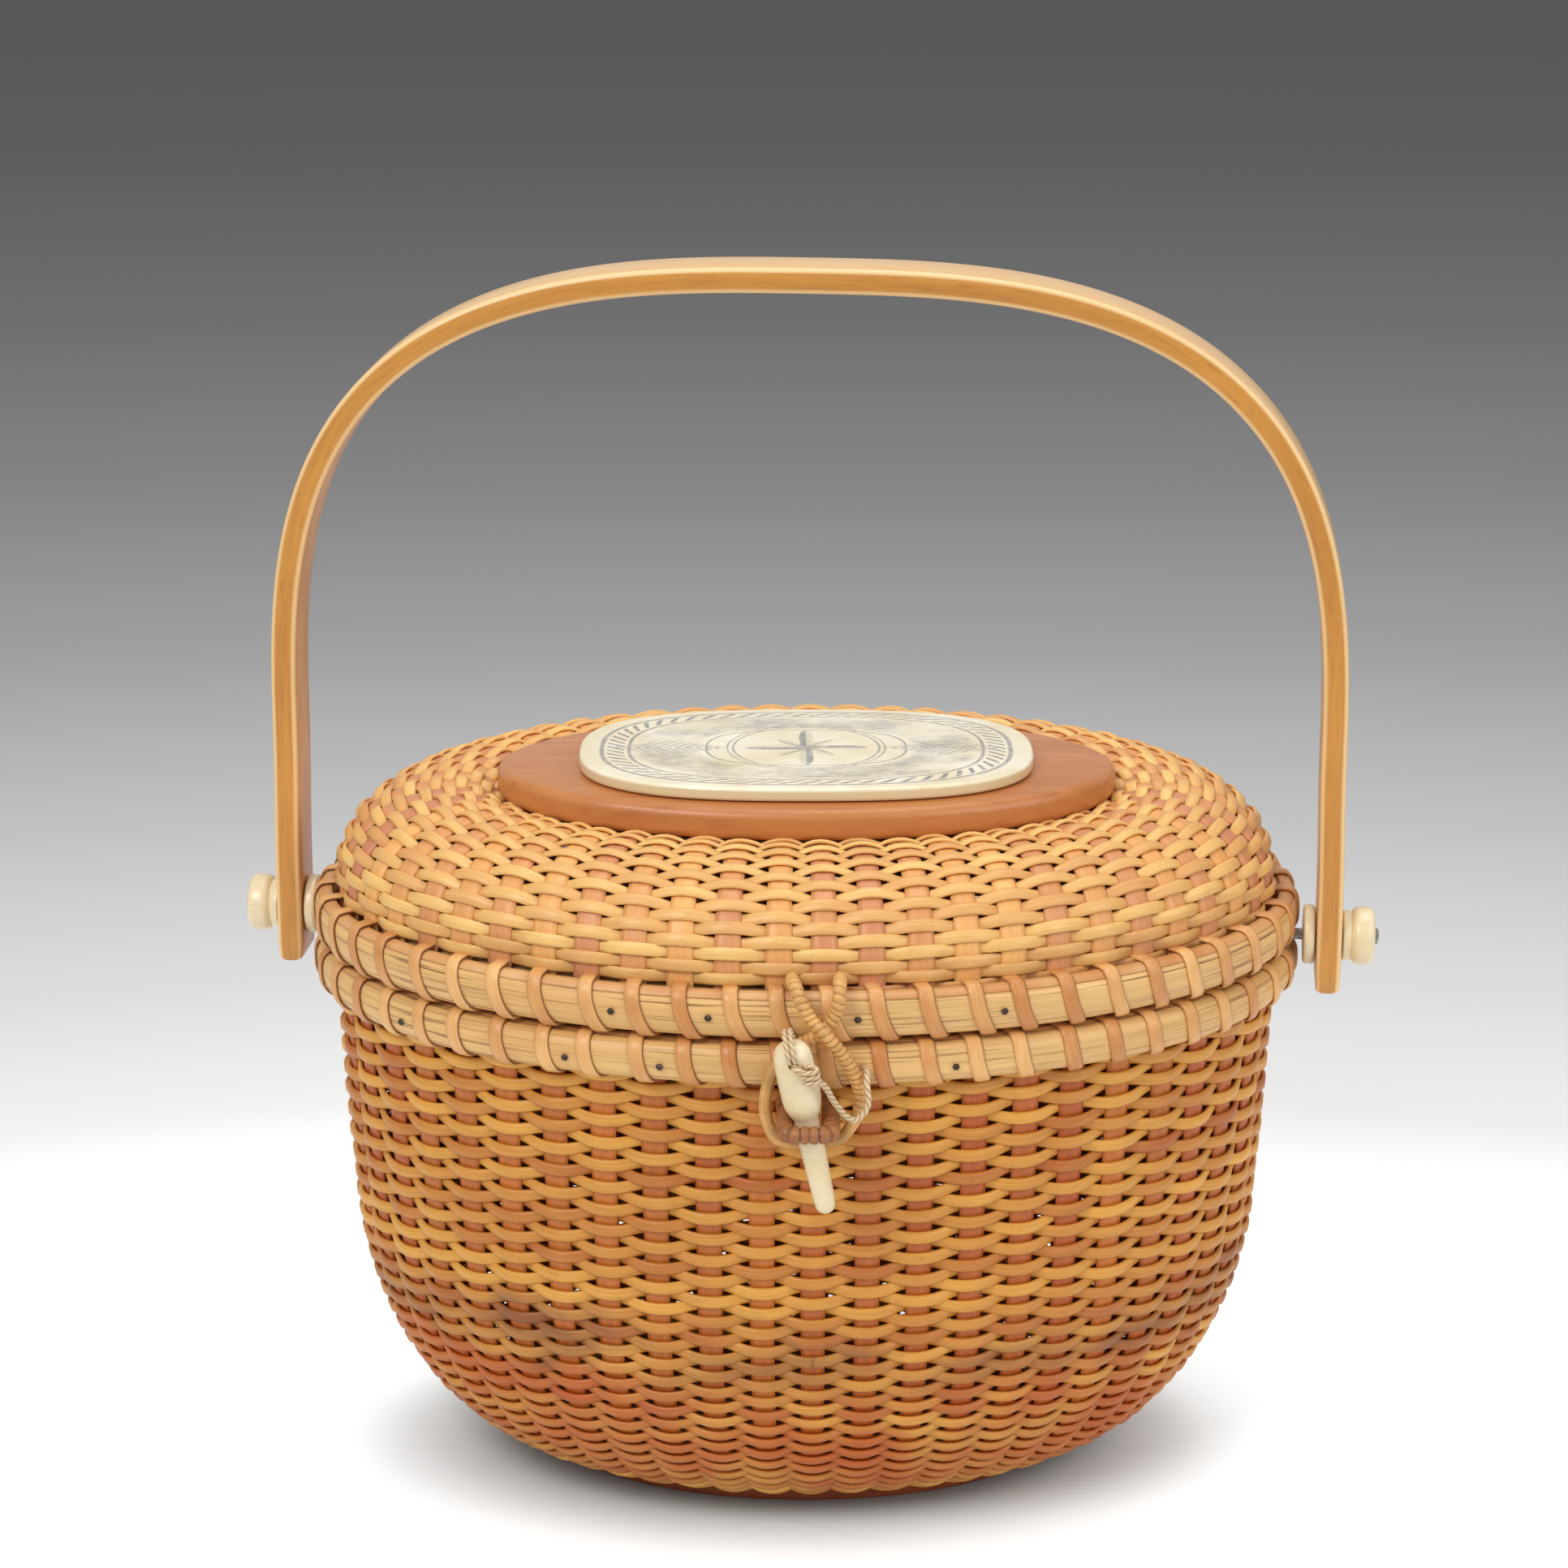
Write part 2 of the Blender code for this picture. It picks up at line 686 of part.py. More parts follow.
def make_ear(name, inner_x):
    """Make a flat ear with a round top, drilled for its pin."""
    half = EAR_W / 2
    outline = [(-half, -EAR_BELOW), (half, -EAR_BELOW)]
    arc = 10
    for step in range(arc + 1):
        angle = math.pi * step / arc
        outline.append((half * math.cos(angle), EAR_ABOVE - half + half * math.sin(angle)))
    rings = []
    for x in (inner_x, inner_x + EAR_T):
        rings.append([Vector((x, y, z)) for y, z in outline])
    ear = loft(name, rings, False, "wood")
    profile = ((inner_x - OVERRUN, PIN_R + GAP), (inner_x + EAR_T + OVERRUN, PIN_R + GAP))
    drill = turned("cutter_" + name, profile, PIN_STEPS, None)
    drill.parent = ear
    cut(ear, drill)
    return ear


def handle_line(inner_x):
    """Return points on the middle of the handle's strip, from one foot to the other."""
    half = inner_x + HANDLE_T / 2
    top = HANDLE_TOP_Z - HANDLE_T / 2 - PIVOT_Z
    rise = top - HANDLE_SPRING
    line = [(half, -HANDLE_TAIL), (half, -HANDLE_TAIL + HANDLE_CHAMFER), (half, HANDLE_STRAIGHT)]
    for step in range(HANDLE_STEPS + 1):
        angle = math.pi * step / HANDLE_STEPS
        cosine, sine = math.cos(angle), math.sin(angle)
        x = math.copysign(abs(cosine) ** (2 / HANDLE_CURVE), cosine) * (half - HANDLE_DRAW_IN)
        line.append((x, HANDLE_SPRING + rise * abs(sine) ** (2 / HANDLE_CURVE)))
    for x, z in ((-half, HANDLE_STRAIGHT), (-half, -HANDLE_TAIL + HANDLE_CHAMFER)):
        line.append((x, z))
    line.append((-half, -HANDLE_TAIL))
    return line


def make_handle(inner_x):
    """Bend the handle's strip over its arch and drill it for the pins."""
    line = handle_line(inner_x)
    rings = []
    for index, (x, z) in enumerate(line):
        before = line[max(index - 1, 0)]
        after = line[min(index + 1, len(line) - 1)]
        along = Vector((after[0] - before[0], 0.0, after[1] - before[1])).normalized()
        out = Vector((along.z, 0.0, -along.x))
        inset = HANDLE_CHAMFER if index in (0, len(line) - 1) else 0.0
        half_t = HANDLE_T / 2 - inset
        half_w = HANDLE_W / 2 - inset
        soft = HANDLE_CHAMFER
        section = (
            (half_t - soft, -half_w),
            (half_t, -half_w + soft),
            (half_t, half_w - soft),
            (half_t - soft, half_w),
            (-half_t + soft, half_w),
            (-half_t, half_w - soft),
            (-half_t, -half_w + soft),
            (-half_t + soft, -half_w),
        )
        middle = Vector((x, 0.0, z))
        rings.append([middle + out * u + Vector((0.0, v, 0.0)) for u, v in section])
    handle = loft("handle", rings, False, "wood")
    reach = inner_x + HANDLE_T + OVERRUN
    drill = turned("cutter_handle", ((-reach, PIN_R + GAP), (reach, PIN_R + GAP)), PIN_STEPS, None)
    drill.parent = handle
    cut(handle, drill)
    handle.location = (0.0, 0.0, PIVOT_Z)
    handle.rotation_euler = (0.0, 0.0, pin_turn())


def notch_lid():
    """Cut the small arches in the lid's rim that clear the pins."""
    radius = PIN_R + GAP
    reach = RIM_LENGTH
    outline = [(-radius, -OVERRUN), (radius, -OVERRUN)]
    arc = 8
    for step in range(arc + 1):
        angle = math.pi * step / arc
        outline.append((radius * math.cos(angle), radius * math.sin(angle)))
    rings = []
    for x in (-reach, reach):
        rings.append([Vector((x, y, z)) for y, z in outline])
    cutter = loft("cutter_notch", rings, False, None)
    cutter.location = (0.0, 0.0, PIVOT_Z)
    cutter.rotation_euler = (0.0, 0.0, pin_turn())
    for name in ("lid_weave", "lid_outer_hoop", "lid_inner_hoop"):
        cut(bpy.data.objects[name], cutter)


# Hinge loops

def hinge_box(bm, place, offsets, levels, width):
    """Add a box in the rim's frame at a place."""
    middle = rim_point(place, 0.0, 0.0)
    out = (rim_point(place, HOOP_OUT, 0.0) - middle).normalized()
    side = Vector((-out.y, out.x, 0.0))
    rings = []
    for level in levels:
        ring = []
        for offset, across in (
            (offsets[0], -width / 2),
            (offsets[1], -width / 2),
            (offsets[1], width / 2),
            (offsets[0], width / 2),
        ):
            ring.append(middle + out * offset + side * across + Vector((0.0, 0.0, level)))
        rings.append(ring)
    loft_into(bm, rings, False)


def make_hinges():
    """Make the two hinge loops round both rims, and their slots in the walls."""
    inside = -(LASH_IN + GAP + HINGE_T / 2)
    outside = LASH_OUT + GAP + HINGE_T / 2
    low = SEAM_Z - BODY_RIM_END - GAP - HINGE_T / 2
    high = SEAM_Z + LID_RIM_END + GAP + HINGE_T / 2
    slot_half = HINGE_T / 2 + GAP
    cutters = {}
    for wall in ("body_weave", "lid_weave"):
        cutters[wall] = bmesh.new()
    for side, sign in (("left", 1), ("right", -1)):
        place = BAND_COUNT / 2 + sign * HINGE_GAPS_OFF_BACK
        middle = rim_point(place, 0.0, 0.0)
        out = (rim_point(place, HOOP_OUT, 0.0) - middle).normalized()
        across = Vector((-out.y, out.x, 0.0)) * (HINGE_W / 2)
        rings = []
        corners = ((outside, low, 1, -1), (outside, high, 1, 1), (inside, high, -1, 1), (inside, low, -1, -1))
        for offset, level, out_way, up_way in corners:
            ring = []
            for side_way, skin in ((-1, 1), (1, 1), (1, -1), (-1, -1)):
                shift = offset + out_way * skin * HINGE_T / 2
                rise = level + up_way * skin * HINGE_T / 2
                ring.append(middle + out * shift + across * side_way + Vector((0.0, 0.0, rise)))
            rings.append(ring)
        loft("hinge_loop_" + side, rings, True, "cane")
        reach = (-WALL_T - OVERRUN / 4, WALL_T + OVERRUN / 4)
        width = HINGE_W + GAP + GAP
        hinge_box(cutters["body_weave"], place, reach, (low - slot_half, low + slot_half), width)
        hinge_box(cutters["lid_weave"], place, reach, (high - slot_half, high + slot_half), width)
    for wall, bm in cutters.items():
        cut(bpy.data.objects[wall], link_mesh("cutter_hinge_" + wall, bm))


# Clasp

def smooth_line(points, step_length):
    """Return evenly stepped points on a smooth curve through the given points."""
    knots = [points[0] * 2 - points[1]] + list(points) + [points[-1] * 2 - points[-2]]
    fine = []
    for index in range(1, len(knots) - 2):
        p0, p1, p2, p3 = knots[index - 1:index + 3]
        for part in range(16):
            t = part / 16
            square = t * t
            cube = square * t
            fine.append(
                (p1 * 2 + (p2 - p0) * t + (p0 * 2 - p1 * 5 + p2 * 4 - p3) * square
                 + (p1 * 3 - p0 - p2 * 3 + p3) * cube) / 2
            )
    fine.append(points[-1])
    total = sum((b - a).length for a, b in zip(fine, fine[1:]))
    count = max(2, round(total / step_length))
    line = [fine[0]]
    walked = 0.0
    for a, b in zip(fine, fine[1:]):
        length = (b - a).length
        while len(line) < count and walked + length >= total * len(line) / count:
            line.append(a.lerp(b, (total * len(line) / count - walked) / length))
        walked += length
    line.append(points[-1])
    return line


def tube(name, points, radius, step_length, look):
    """Make a round tube along a smooth curve."""
    line = smooth_line(points, step_length)
    curve = bpy.data.curves.new(name, "CURVE")
    curve.dimensions = "3D"
    curve.bevel_depth = radius
    curve.bevel_resolution = 2
    curve.use_fill_caps = True
    spline = curve.splines.new("POLY")
    spline.points.add(len(line) - 1)
    for point, place in zip(spline.points, line):
        point.co = (*place, 1.0)
    item = bpy.data.objects.new(name, curve)
    bpy.context.collection.objects.link(item)
    add_material(item, look)
    return item


def clasp_point(x, out, up):
    """Return a point by its distance across, out from the rim's face and up from the seam."""
    return Vector((x, -RIM_WIDTH / 2 - out, SEAM_Z + up))


# Across as a share of the loop's half width, out as a share of the loop's seat, and up as a
# share of the loop's drop below the seam or of the lid rim's height above it
LOOP_SHARES = (
    (-0.35, None, 1.16), (-0.33, -1.70, 1.17), (-0.27, 0.17, 1.16), (-0.17, 1.45, 0.97),
    (0.05, 2.00, 0.64), (0.38, 2.85, 0.37), (0.78, 2.10, -0.05), (1.08, 1.05, -0.36),
    (1.13, 1.00, -0.58), (0.98, 1.00, -0.79), (0.66, 1.00, -0.96), (0.05, 1.00, -1.00),
    (-0.63, 1.00, -0.97), (-0.89, 1.00, -0.74), (-0.91, 1.00, -0.49), (-0.74, 1.00, -0.22),
    (-0.33, 1.00, 0.03), (0.06, 1.00, 0.20), (0.40, 1.00, 0.42), (0.59, 1.00, 0.70),
    (0.66, 1.22, 0.96), (0.68, 0.17, 1.16), (0.69, -1.70, 1.17), (0.69, None, 1.16),
)


def make_clasp():
    """Make the lid's loop, the body's staple, the peg and its cord."""
    seat_out = GAP + LOOP_R
    wall_out = -(LASH_OUT - WALL_T / 2 - GAP)
    points = []
    for across, out, up in LOOP_SHARES:
        height = up * (LID_RIM_END if up > 0 else LOOP_DROP)
        depth = wall_out if out is None else out * seat_out
        points.append(clasp_point(across * LOOP_HALF_W, depth, height))
    tube("clasp_loop", points, LOOP_R, LOOP_R * 2.2, "cane")

    peg_out = GAP + LOOP_R + LOOP_R + GAP + GAP + PEG_WAIST_R + PEG_WAIST_R / 2
    bar_out = peg_out + PEG_WAIST_R + GAP + GAP + GAP + STAPLE_R
    inner_end = -(LASH_OUT + WALL_T / 2 + STAPLE_INSIDE)
    half = STAPLE_HALF_W
    bend = STAPLE_BEND
    corner = bend * 0.3
    up = -STAPLE_DROP
    legs = (
        (-half, inner_end), (-half, inner_end / 2), (-half, 0.0), (-half, bar_out - bend),
        (-half + corner, bar_out - corner), (-half + bend, bar_out), (0.0, bar_out),
        (half - bend, bar_out), (half - corner, bar_out - corner), (half, bar_out - bend),
        (half, 0.0), (half, inner_end / 2), (half, inner_end),
    )
    tube("clasp_staple", [clasp_point(x, out, up) for x, out in legs], STAPLE_R, STAPLE_R * 1.4, "cane")
    bm = bmesh.new()
    for x in (-half, half):
        rings = []
        for out in (inner_end - OVERRUN, -LASH_OUT + WALL_T + OVERRUN / 2):
            middle = clasp_point(x, out, up)
            ring = []
            for step in range(PIN_STEPS):
                angle = math.tau * step / PIN_STEPS
                radius = STAPLE_R + GAP
                ring.append(middle + Vector((radius * math.cos(angle), 0.0, radius * math.sin(angle))))
            rings.append(ring)
        loft_into(bm, rings, False)
    cut(bpy.data.objects["body_weave"], link_mesh("cutter_staple", bm))
    make_peg(peg_out, up)


# Along the peg's length from its top, and its radius as a share of the head's or the waist's
PEG_HEAD_SHARES = (
    (0.00, 0.30), (0.03, 0.62), (0.10, 0.86), (0.22, 0.95), (0.45, 0.98), (0.72, 1.00),
    (0.86, 0.90), (0.95, 0.72),
)
PEG_TAIL_SHARES = ((0.00, 1.04), (0.12, 1.00), (0.55, 0.94), (0.93, 0.84), (1.00, 0.45))


def make_peg(peg_out, up):
    """Turn the peg, stand it in the staple and tie its cord."""
    lean = Vector((PEG_LEAN_X_SHARE, PEG_LEAN_Y_SHARE, 1.0)).normalized()
    at_staple = clasp_point(0.0, peg_out, up)
    top = at_staple + lean * PEG_ABOVE_STAPLE
    profile = []
    for along, radius in PEG_HEAD_SHARES:
        profile.append((along * PEG_HEAD_LENGTH, radius * PEG_HEAD_R))
    tail = PEG_LENGTH - PEG_HEAD_LENGTH
    for along, radius in PEG_TAIL_SHARES:
        profile.append((PEG_HEAD_LENGTH + along * tail, radius * PEG_WAIST_R))
    peg = turned("clasp_peg", profile, PEG_STEPS, "ivory")
    rings = []
    for y in (-PEG_HEAD_R - OVERRUN, PEG_HEAD_R + OVERRUN):
        ring = []
        for step in range(PIN_STEPS):
            angle = math.tau * step / PIN_STEPS
            x = PEG_HOLE_DROP + PEG_HOLE_R * math.cos(angle)
            ring.append(Vector((x, y, PEG_HOLE_R * math.sin(angle))))
        rings.append(ring)
    drill = loft("cutter_peg", rings, False, None)
    drill.parent = peg
    cut(peg, drill)
    down = -lean
    across = lean.cross(Vector((0.0, 1.0, 0.0))).normalized()
    back = down.cross(across)
    turn = Matrix((down, back, down.cross(back))).transposed().to_quaternion()
    peg.location = top
    peg.rotation_mode = "QUATERNION"
    peg.rotation_quaternion = turn
    hole = top + turn @ Vector((PEG_HOLE_DROP, 0.0, 0.0))
    bore = -back
    end, out = gap_frame(1, HOOP_OUT + GAP, SEAM_Z - HOOP_END / 2)
    end += Vector((-out.y, out.x, 0.0)) * CORD_END_SIDE
    route = (
        hole,
        hole + bore * 0.0030,
        hole + bore * 0.0056 + Vector((0.0008, 0.0, -0.0004)),
        hole + Vector((0.0042, -0.0062, -0.0024)),
        hole + Vector((0.0072, -0.0038, -0.0056)),
        hole + Vector((0.0092, -0.0014, -0.0100)),
        hole + Vector((0.0118, 0.0006, -0.0142)),
        hole + Vector((0.0144, 0.0022, -0.0160)),
        hole + Vector((0.0170, 0.0032, -0.0130)),
        hole + Vector((0.0168, 0.0050, -0.0080)),
        end + out * 0.0030 + Vector((0.0006, 0.0, 0.0)),
        end,
    )
    tube("peg_cord", route, CORD_R, CORD_R * 3.4, "linen")


# Nails

def make_tacks():
    """Nail both outer hoops, each nail in its own hole between two lashing turns."""
    for part, sign, gaps in (("body", -1, BODY_TACK_GAPS), ("lid", 1, LID_TACK_GAPS)):
        z = SEAM_Z + sign * (HOOP_START + HOOP_END) / 2
        bm = bmesh.new()
        for number, gap in enumerate(gaps, 1):
            place, out = gap_frame(gap, HOOP_OUT, z)
            turn = out.to_track_quat("X", "Z")
            profile = (
                (-TACK_LENGTH, TACK_SHANK_R / 2),
                (-TACK_LENGTH + TACK_SHANK_R, TACK_SHANK_R),
                (GAP, TACK_SHANK_R),
                (GAP, TACK_HEAD_R),
                (GAP + TACK_HEAD_T / 2, TACK_HEAD_R * 0.85),
                (GAP + TACK_HEAD_T, TACK_HEAD_R * 0.40),
            )
            tack = turned(part + "_tack_" + str(number), profile, TACK_STEPS, "nail")
            tack.location = place
            tack.rotation_mode = "QUATERNION"
            tack.rotation_quaternion = turn
            rings = []
            for x in (-TACK_LENGTH - GAP, OVERRUN):
                ring = circle(x, TACK_SHANK_R + GAP, TACK_STEPS)
                rings.append([place + turn @ point for point in ring])
            loft_into(bm, rings, False)
        cut(bpy.data.objects[part + "_outer_hoop"], link_mesh("cutter_tacks_" + part, bm))


def main():
    """Build the whole basket."""
    clear_scene()
    oval_board("base_board", BASE_LENGTH, BASE_WIDTH, BASE_T, BOARD_CURVE, 0.0, "cherry")
    profile, slot_row = body_profile()
    slotted_wall("body_weave", profile, slot_row, -1, BODY_STAVE_SHARE, "weave")
    profile, slot_row = lid_profile()
    slotted_wall("lid_weave", profile, slot_row, 1, LID_STAVE_SHARE, "weave")
    oval_board("lid_board", LID_BOARD_LENGTH, LID_BOARD_WIDTH, LID_BOARD_T, BOARD_CURVE, LID_BOARD_Z, "cherry")
    oval_board("plaque", PLAQUE_LENGTH, PLAQUE_WIDTH, PLAQUE_T, PLAQUE_CURVE, PLAQUE_Z, "ivory")
    make_rims()
    inner_x = make_pivots()
    make_handle(inner_x)
    notch_lid()
    make_hinges()
    make_clasp()
    make_tacks()


main()
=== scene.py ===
"""Looks of a lidded oval basket with a swing handle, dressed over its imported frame."""
import bisect
import math
import random

import bmesh
import bpy
from bpy.props import FloatProperty, FloatVectorProperty, IntProperty, PointerProperty
from mathutils import Matrix, Vector, noise
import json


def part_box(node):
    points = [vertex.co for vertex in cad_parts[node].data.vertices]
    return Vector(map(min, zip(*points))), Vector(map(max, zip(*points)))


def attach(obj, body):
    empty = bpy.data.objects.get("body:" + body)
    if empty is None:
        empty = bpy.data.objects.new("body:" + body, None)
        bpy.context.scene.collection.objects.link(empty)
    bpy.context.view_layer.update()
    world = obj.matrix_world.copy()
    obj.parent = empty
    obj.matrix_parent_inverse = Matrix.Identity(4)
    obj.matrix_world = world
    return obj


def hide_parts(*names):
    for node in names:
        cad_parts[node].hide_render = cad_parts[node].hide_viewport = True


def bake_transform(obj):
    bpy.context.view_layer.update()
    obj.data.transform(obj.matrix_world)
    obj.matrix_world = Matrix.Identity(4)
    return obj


bl_info = {
    "name": "Lidded oval basket",
    "version": (1, 0, 0),
    "blender": (4, 5, 0),
    "location": "3D View > Sidebar > Basket",
    "description": "Weaves, lashes and finishes a lidded oval basket with a swing handle",
    "category": "Object",
}

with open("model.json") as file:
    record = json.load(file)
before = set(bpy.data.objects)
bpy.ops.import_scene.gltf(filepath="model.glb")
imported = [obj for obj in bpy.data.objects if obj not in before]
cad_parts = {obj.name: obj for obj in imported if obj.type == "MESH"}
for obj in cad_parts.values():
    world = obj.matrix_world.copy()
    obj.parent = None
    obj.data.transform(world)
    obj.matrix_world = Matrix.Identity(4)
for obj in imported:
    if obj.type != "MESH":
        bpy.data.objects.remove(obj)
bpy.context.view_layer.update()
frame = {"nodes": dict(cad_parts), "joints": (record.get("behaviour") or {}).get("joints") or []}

# Places that the frame gives
HOOP_LOW, HOOP_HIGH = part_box("body_outer_hoop")
LID_HOOP_LOW, LID_HOOP_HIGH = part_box("lid_outer_hoop")
LASH_LOW, LASH_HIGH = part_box("body_lashing")
LID_LASH_LOW, LID_LASH_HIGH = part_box("lid_lashing")
BOARD_LOW, BOARD_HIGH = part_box("lid_board")
BASE_LOW, BASE_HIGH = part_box("base_board")
PLAQUE_LOW, PLAQUE_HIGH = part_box("plaque")
HANDLE_HINGE = next(j for j in frame["joints"] if j["name"] == "handle_swing")
PIVOT = Vector(HANDLE_HINGE["pos_m"])
PIN_TURN = math.atan2(HANDLE_HINGE["axis"][1], HANDLE_HINGE["axis"][0])


def linear(*levels):
    """Turn a colour typed from 0 to 255 into the linear one that the shaders use."""
    colour = []
    for level in levels:
        share = level / 255
        colour.append(share / 12.92 if share <= 0.04045 else ((share + 0.055) / 1.055) ** 2.4)
    return tuple(colour)


def size_prop(name, description, default):
    """Return a length in metres that a user can change."""
    return FloatProperty(name=name, description=description, default=default, min=0.0,
                         precision=5, subtype="DISTANCE", unit="LENGTH")


def colour_prop(name, description, *levels):
    """Return a colour that a user can change."""
    return FloatVectorProperty(name=name, description=description, default=linear(*levels),
                               size=3, min=0.0, max=1.0, subtype="COLOR")


class BasketSizes(bpy.types.PropertyGroup):
    """Sizes of the woven and lashed pieces."""

    body_staves: IntProperty(name="Body staves", description="An odd number, round the body", default=49)
    lid_staves: IntProperty(name="Lid staves", description="An odd number, round the lid", default=55)
    body_rows: IntProperty(name="Body rows", description="Rows woven up the body", default=56)
    lid_rows: IntProperty(name="Lid rows", description="Rows woven up the lid", default=18)
    strand_width: size_prop("Strand width", "Width of a woven strand", 0.0030)
    strand_thickness: size_prop("Strand thickness", "Thickness of a woven strand", 0.0013)
    stave_width: size_prop("Stave width", "Width of a stave at the rim", 0.0064)
    stave_foot: size_prop("Stave foot", "Width of a stave at the boards", 0.0050)
    lid_strand_thickness: size_prop("Lid strand thickness", "Flatter cane of the lid", 0.0010)
    stave_thickness: size_prop("Stave thickness", "Thickness of a stave", 0.0011)
    droop: size_prop("Droop", "How far a strand of the body dips over a stave", 0.0005)
    lid_arch: size_prop("Lid arch", "How far a strand of the lid arches over a stave", 0.00025)
    band_width: size_prop("Lashing width", "Width of the lashing strip", 0.0036)
    band_thickness: size_prop("Lashing thickness", "Thickness of the lashing strip", 0.0007)
    handle_width: size_prop("Handle width", "Width of the bent strip", 0.0170)
    handle_thickness: size_prop("Handle thickness", "Thickness of the bent strip", 0.0061)
    edge_round: size_prop("Edge rounding", "Rounding along the edges of the boards", 0.0011)


class BasketColours(bpy.types.PropertyGroup):
    """Colours of the finishes."""

    strand: colour_prop("Strand", "Waxed cane of the weave", 226, 164, 66)
    strand_dark: colour_prop("Aged strand", "Cane that has darkened", 186, 102, 34)
    stave: colour_prop("Stave", "Staves of the body", 196, 114, 44)
    lid_strand: colour_prop("Lid strand", "Paler cane of the lid", 242, 196, 118)
    lid_stave: colour_prop("Lid stave", "Staves of the lid", 238, 176, 104)
    reed: colour_prop("Hoop", "Reed hoops of the rims", 230, 184, 118)
    lashing: colour_prop("Lashing", "Cane strip that binds the rims", 238, 184, 116)
    bentwood: colour_prop("Handle", "Oiled bentwood", 208, 146, 64)
    board: colour_prop("Boards", "Cherry of the boards", 198, 128, 70)
    ivory: colour_prop("Ivory", "Ivory coloured pieces", 240, 226, 192)
    plate: colour_prop("Plate", "Plate on the lid", 250, 243, 220)
    linen: colour_prop("Cord", "Linen of the peg's cord", 228, 204, 164)
    floor: colour_prop("Floor", "Pale floor", 250, 250, 250)


class StageSizes(bpy.types.PropertyGroup):
    """Where the camera stands and how strong the lamps are."""

    distance: FloatProperty(name="Distance", description="Camera in front of the basket",
                            default=0.95, unit="LENGTH", subtype="DISTANCE")
    height: FloatProperty(name="Height", description="Camera above the floor",
                          default=0.462, unit="LENGTH", subtype="DISTANCE")
    pitch: FloatProperty(name="Pitch", description="How far the camera looks down",
                         default=math.radians(16.95), subtype="ANGLE")
    swing: FloatProperty(name="Swing", description="Camera round the basket from its front",
                         default=0.0, subtype="ANGLE")
    side: FloatProperty(name="Side step", description="Camera beside the basket's middle",
                        default=-0.0054, unit="LENGTH", subtype="DISTANCE")
    focal: FloatProperty(name="Focal length", description="Of a lens over a 36 mm wide sensor",
                         default=93.5)
    key: FloatProperty(name="Key lamp", description="Strength of the main lamp", default=12.5)
    fill: FloatProperty(name="Fill lamp", description="Strength of the second lamp", default=7.0)
    world: FloatProperty(name="Sky", description="Strength of the even light", default=0.55)


def sizes():
    """Return the sizes that the panel shows."""
    return bpy.context.scene.basket_sizes


def colours():
    """Return the colours that the panel shows."""
    return bpy.context.scene.basket_colours


# Shaders

class Socket:
    """A value in a finish, which takes part in sums."""

    def __init__(self, finish, link):
        self.finish = finish
        self.link = link

    def sum(self, operation, first, second):
        return self.finish.node("ShaderNodeMath", {"operation": operation}, {0: first, 1: second})

    def __add__(self, other):
        return self.sum("ADD", self, other)

    __radd__ = __add__

    def __sub__(self, other):
        return self.sum("SUBTRACT", self, other)

    def __rsub__(self, other):
        return self.sum("SUBTRACT", other, self)

    def __mul__(self, other):
        return self.sum("MULTIPLY", self, other)

    __rmul__ = __mul__

    def __pow__(self, other):
        return self.sum("POWER", self, other)


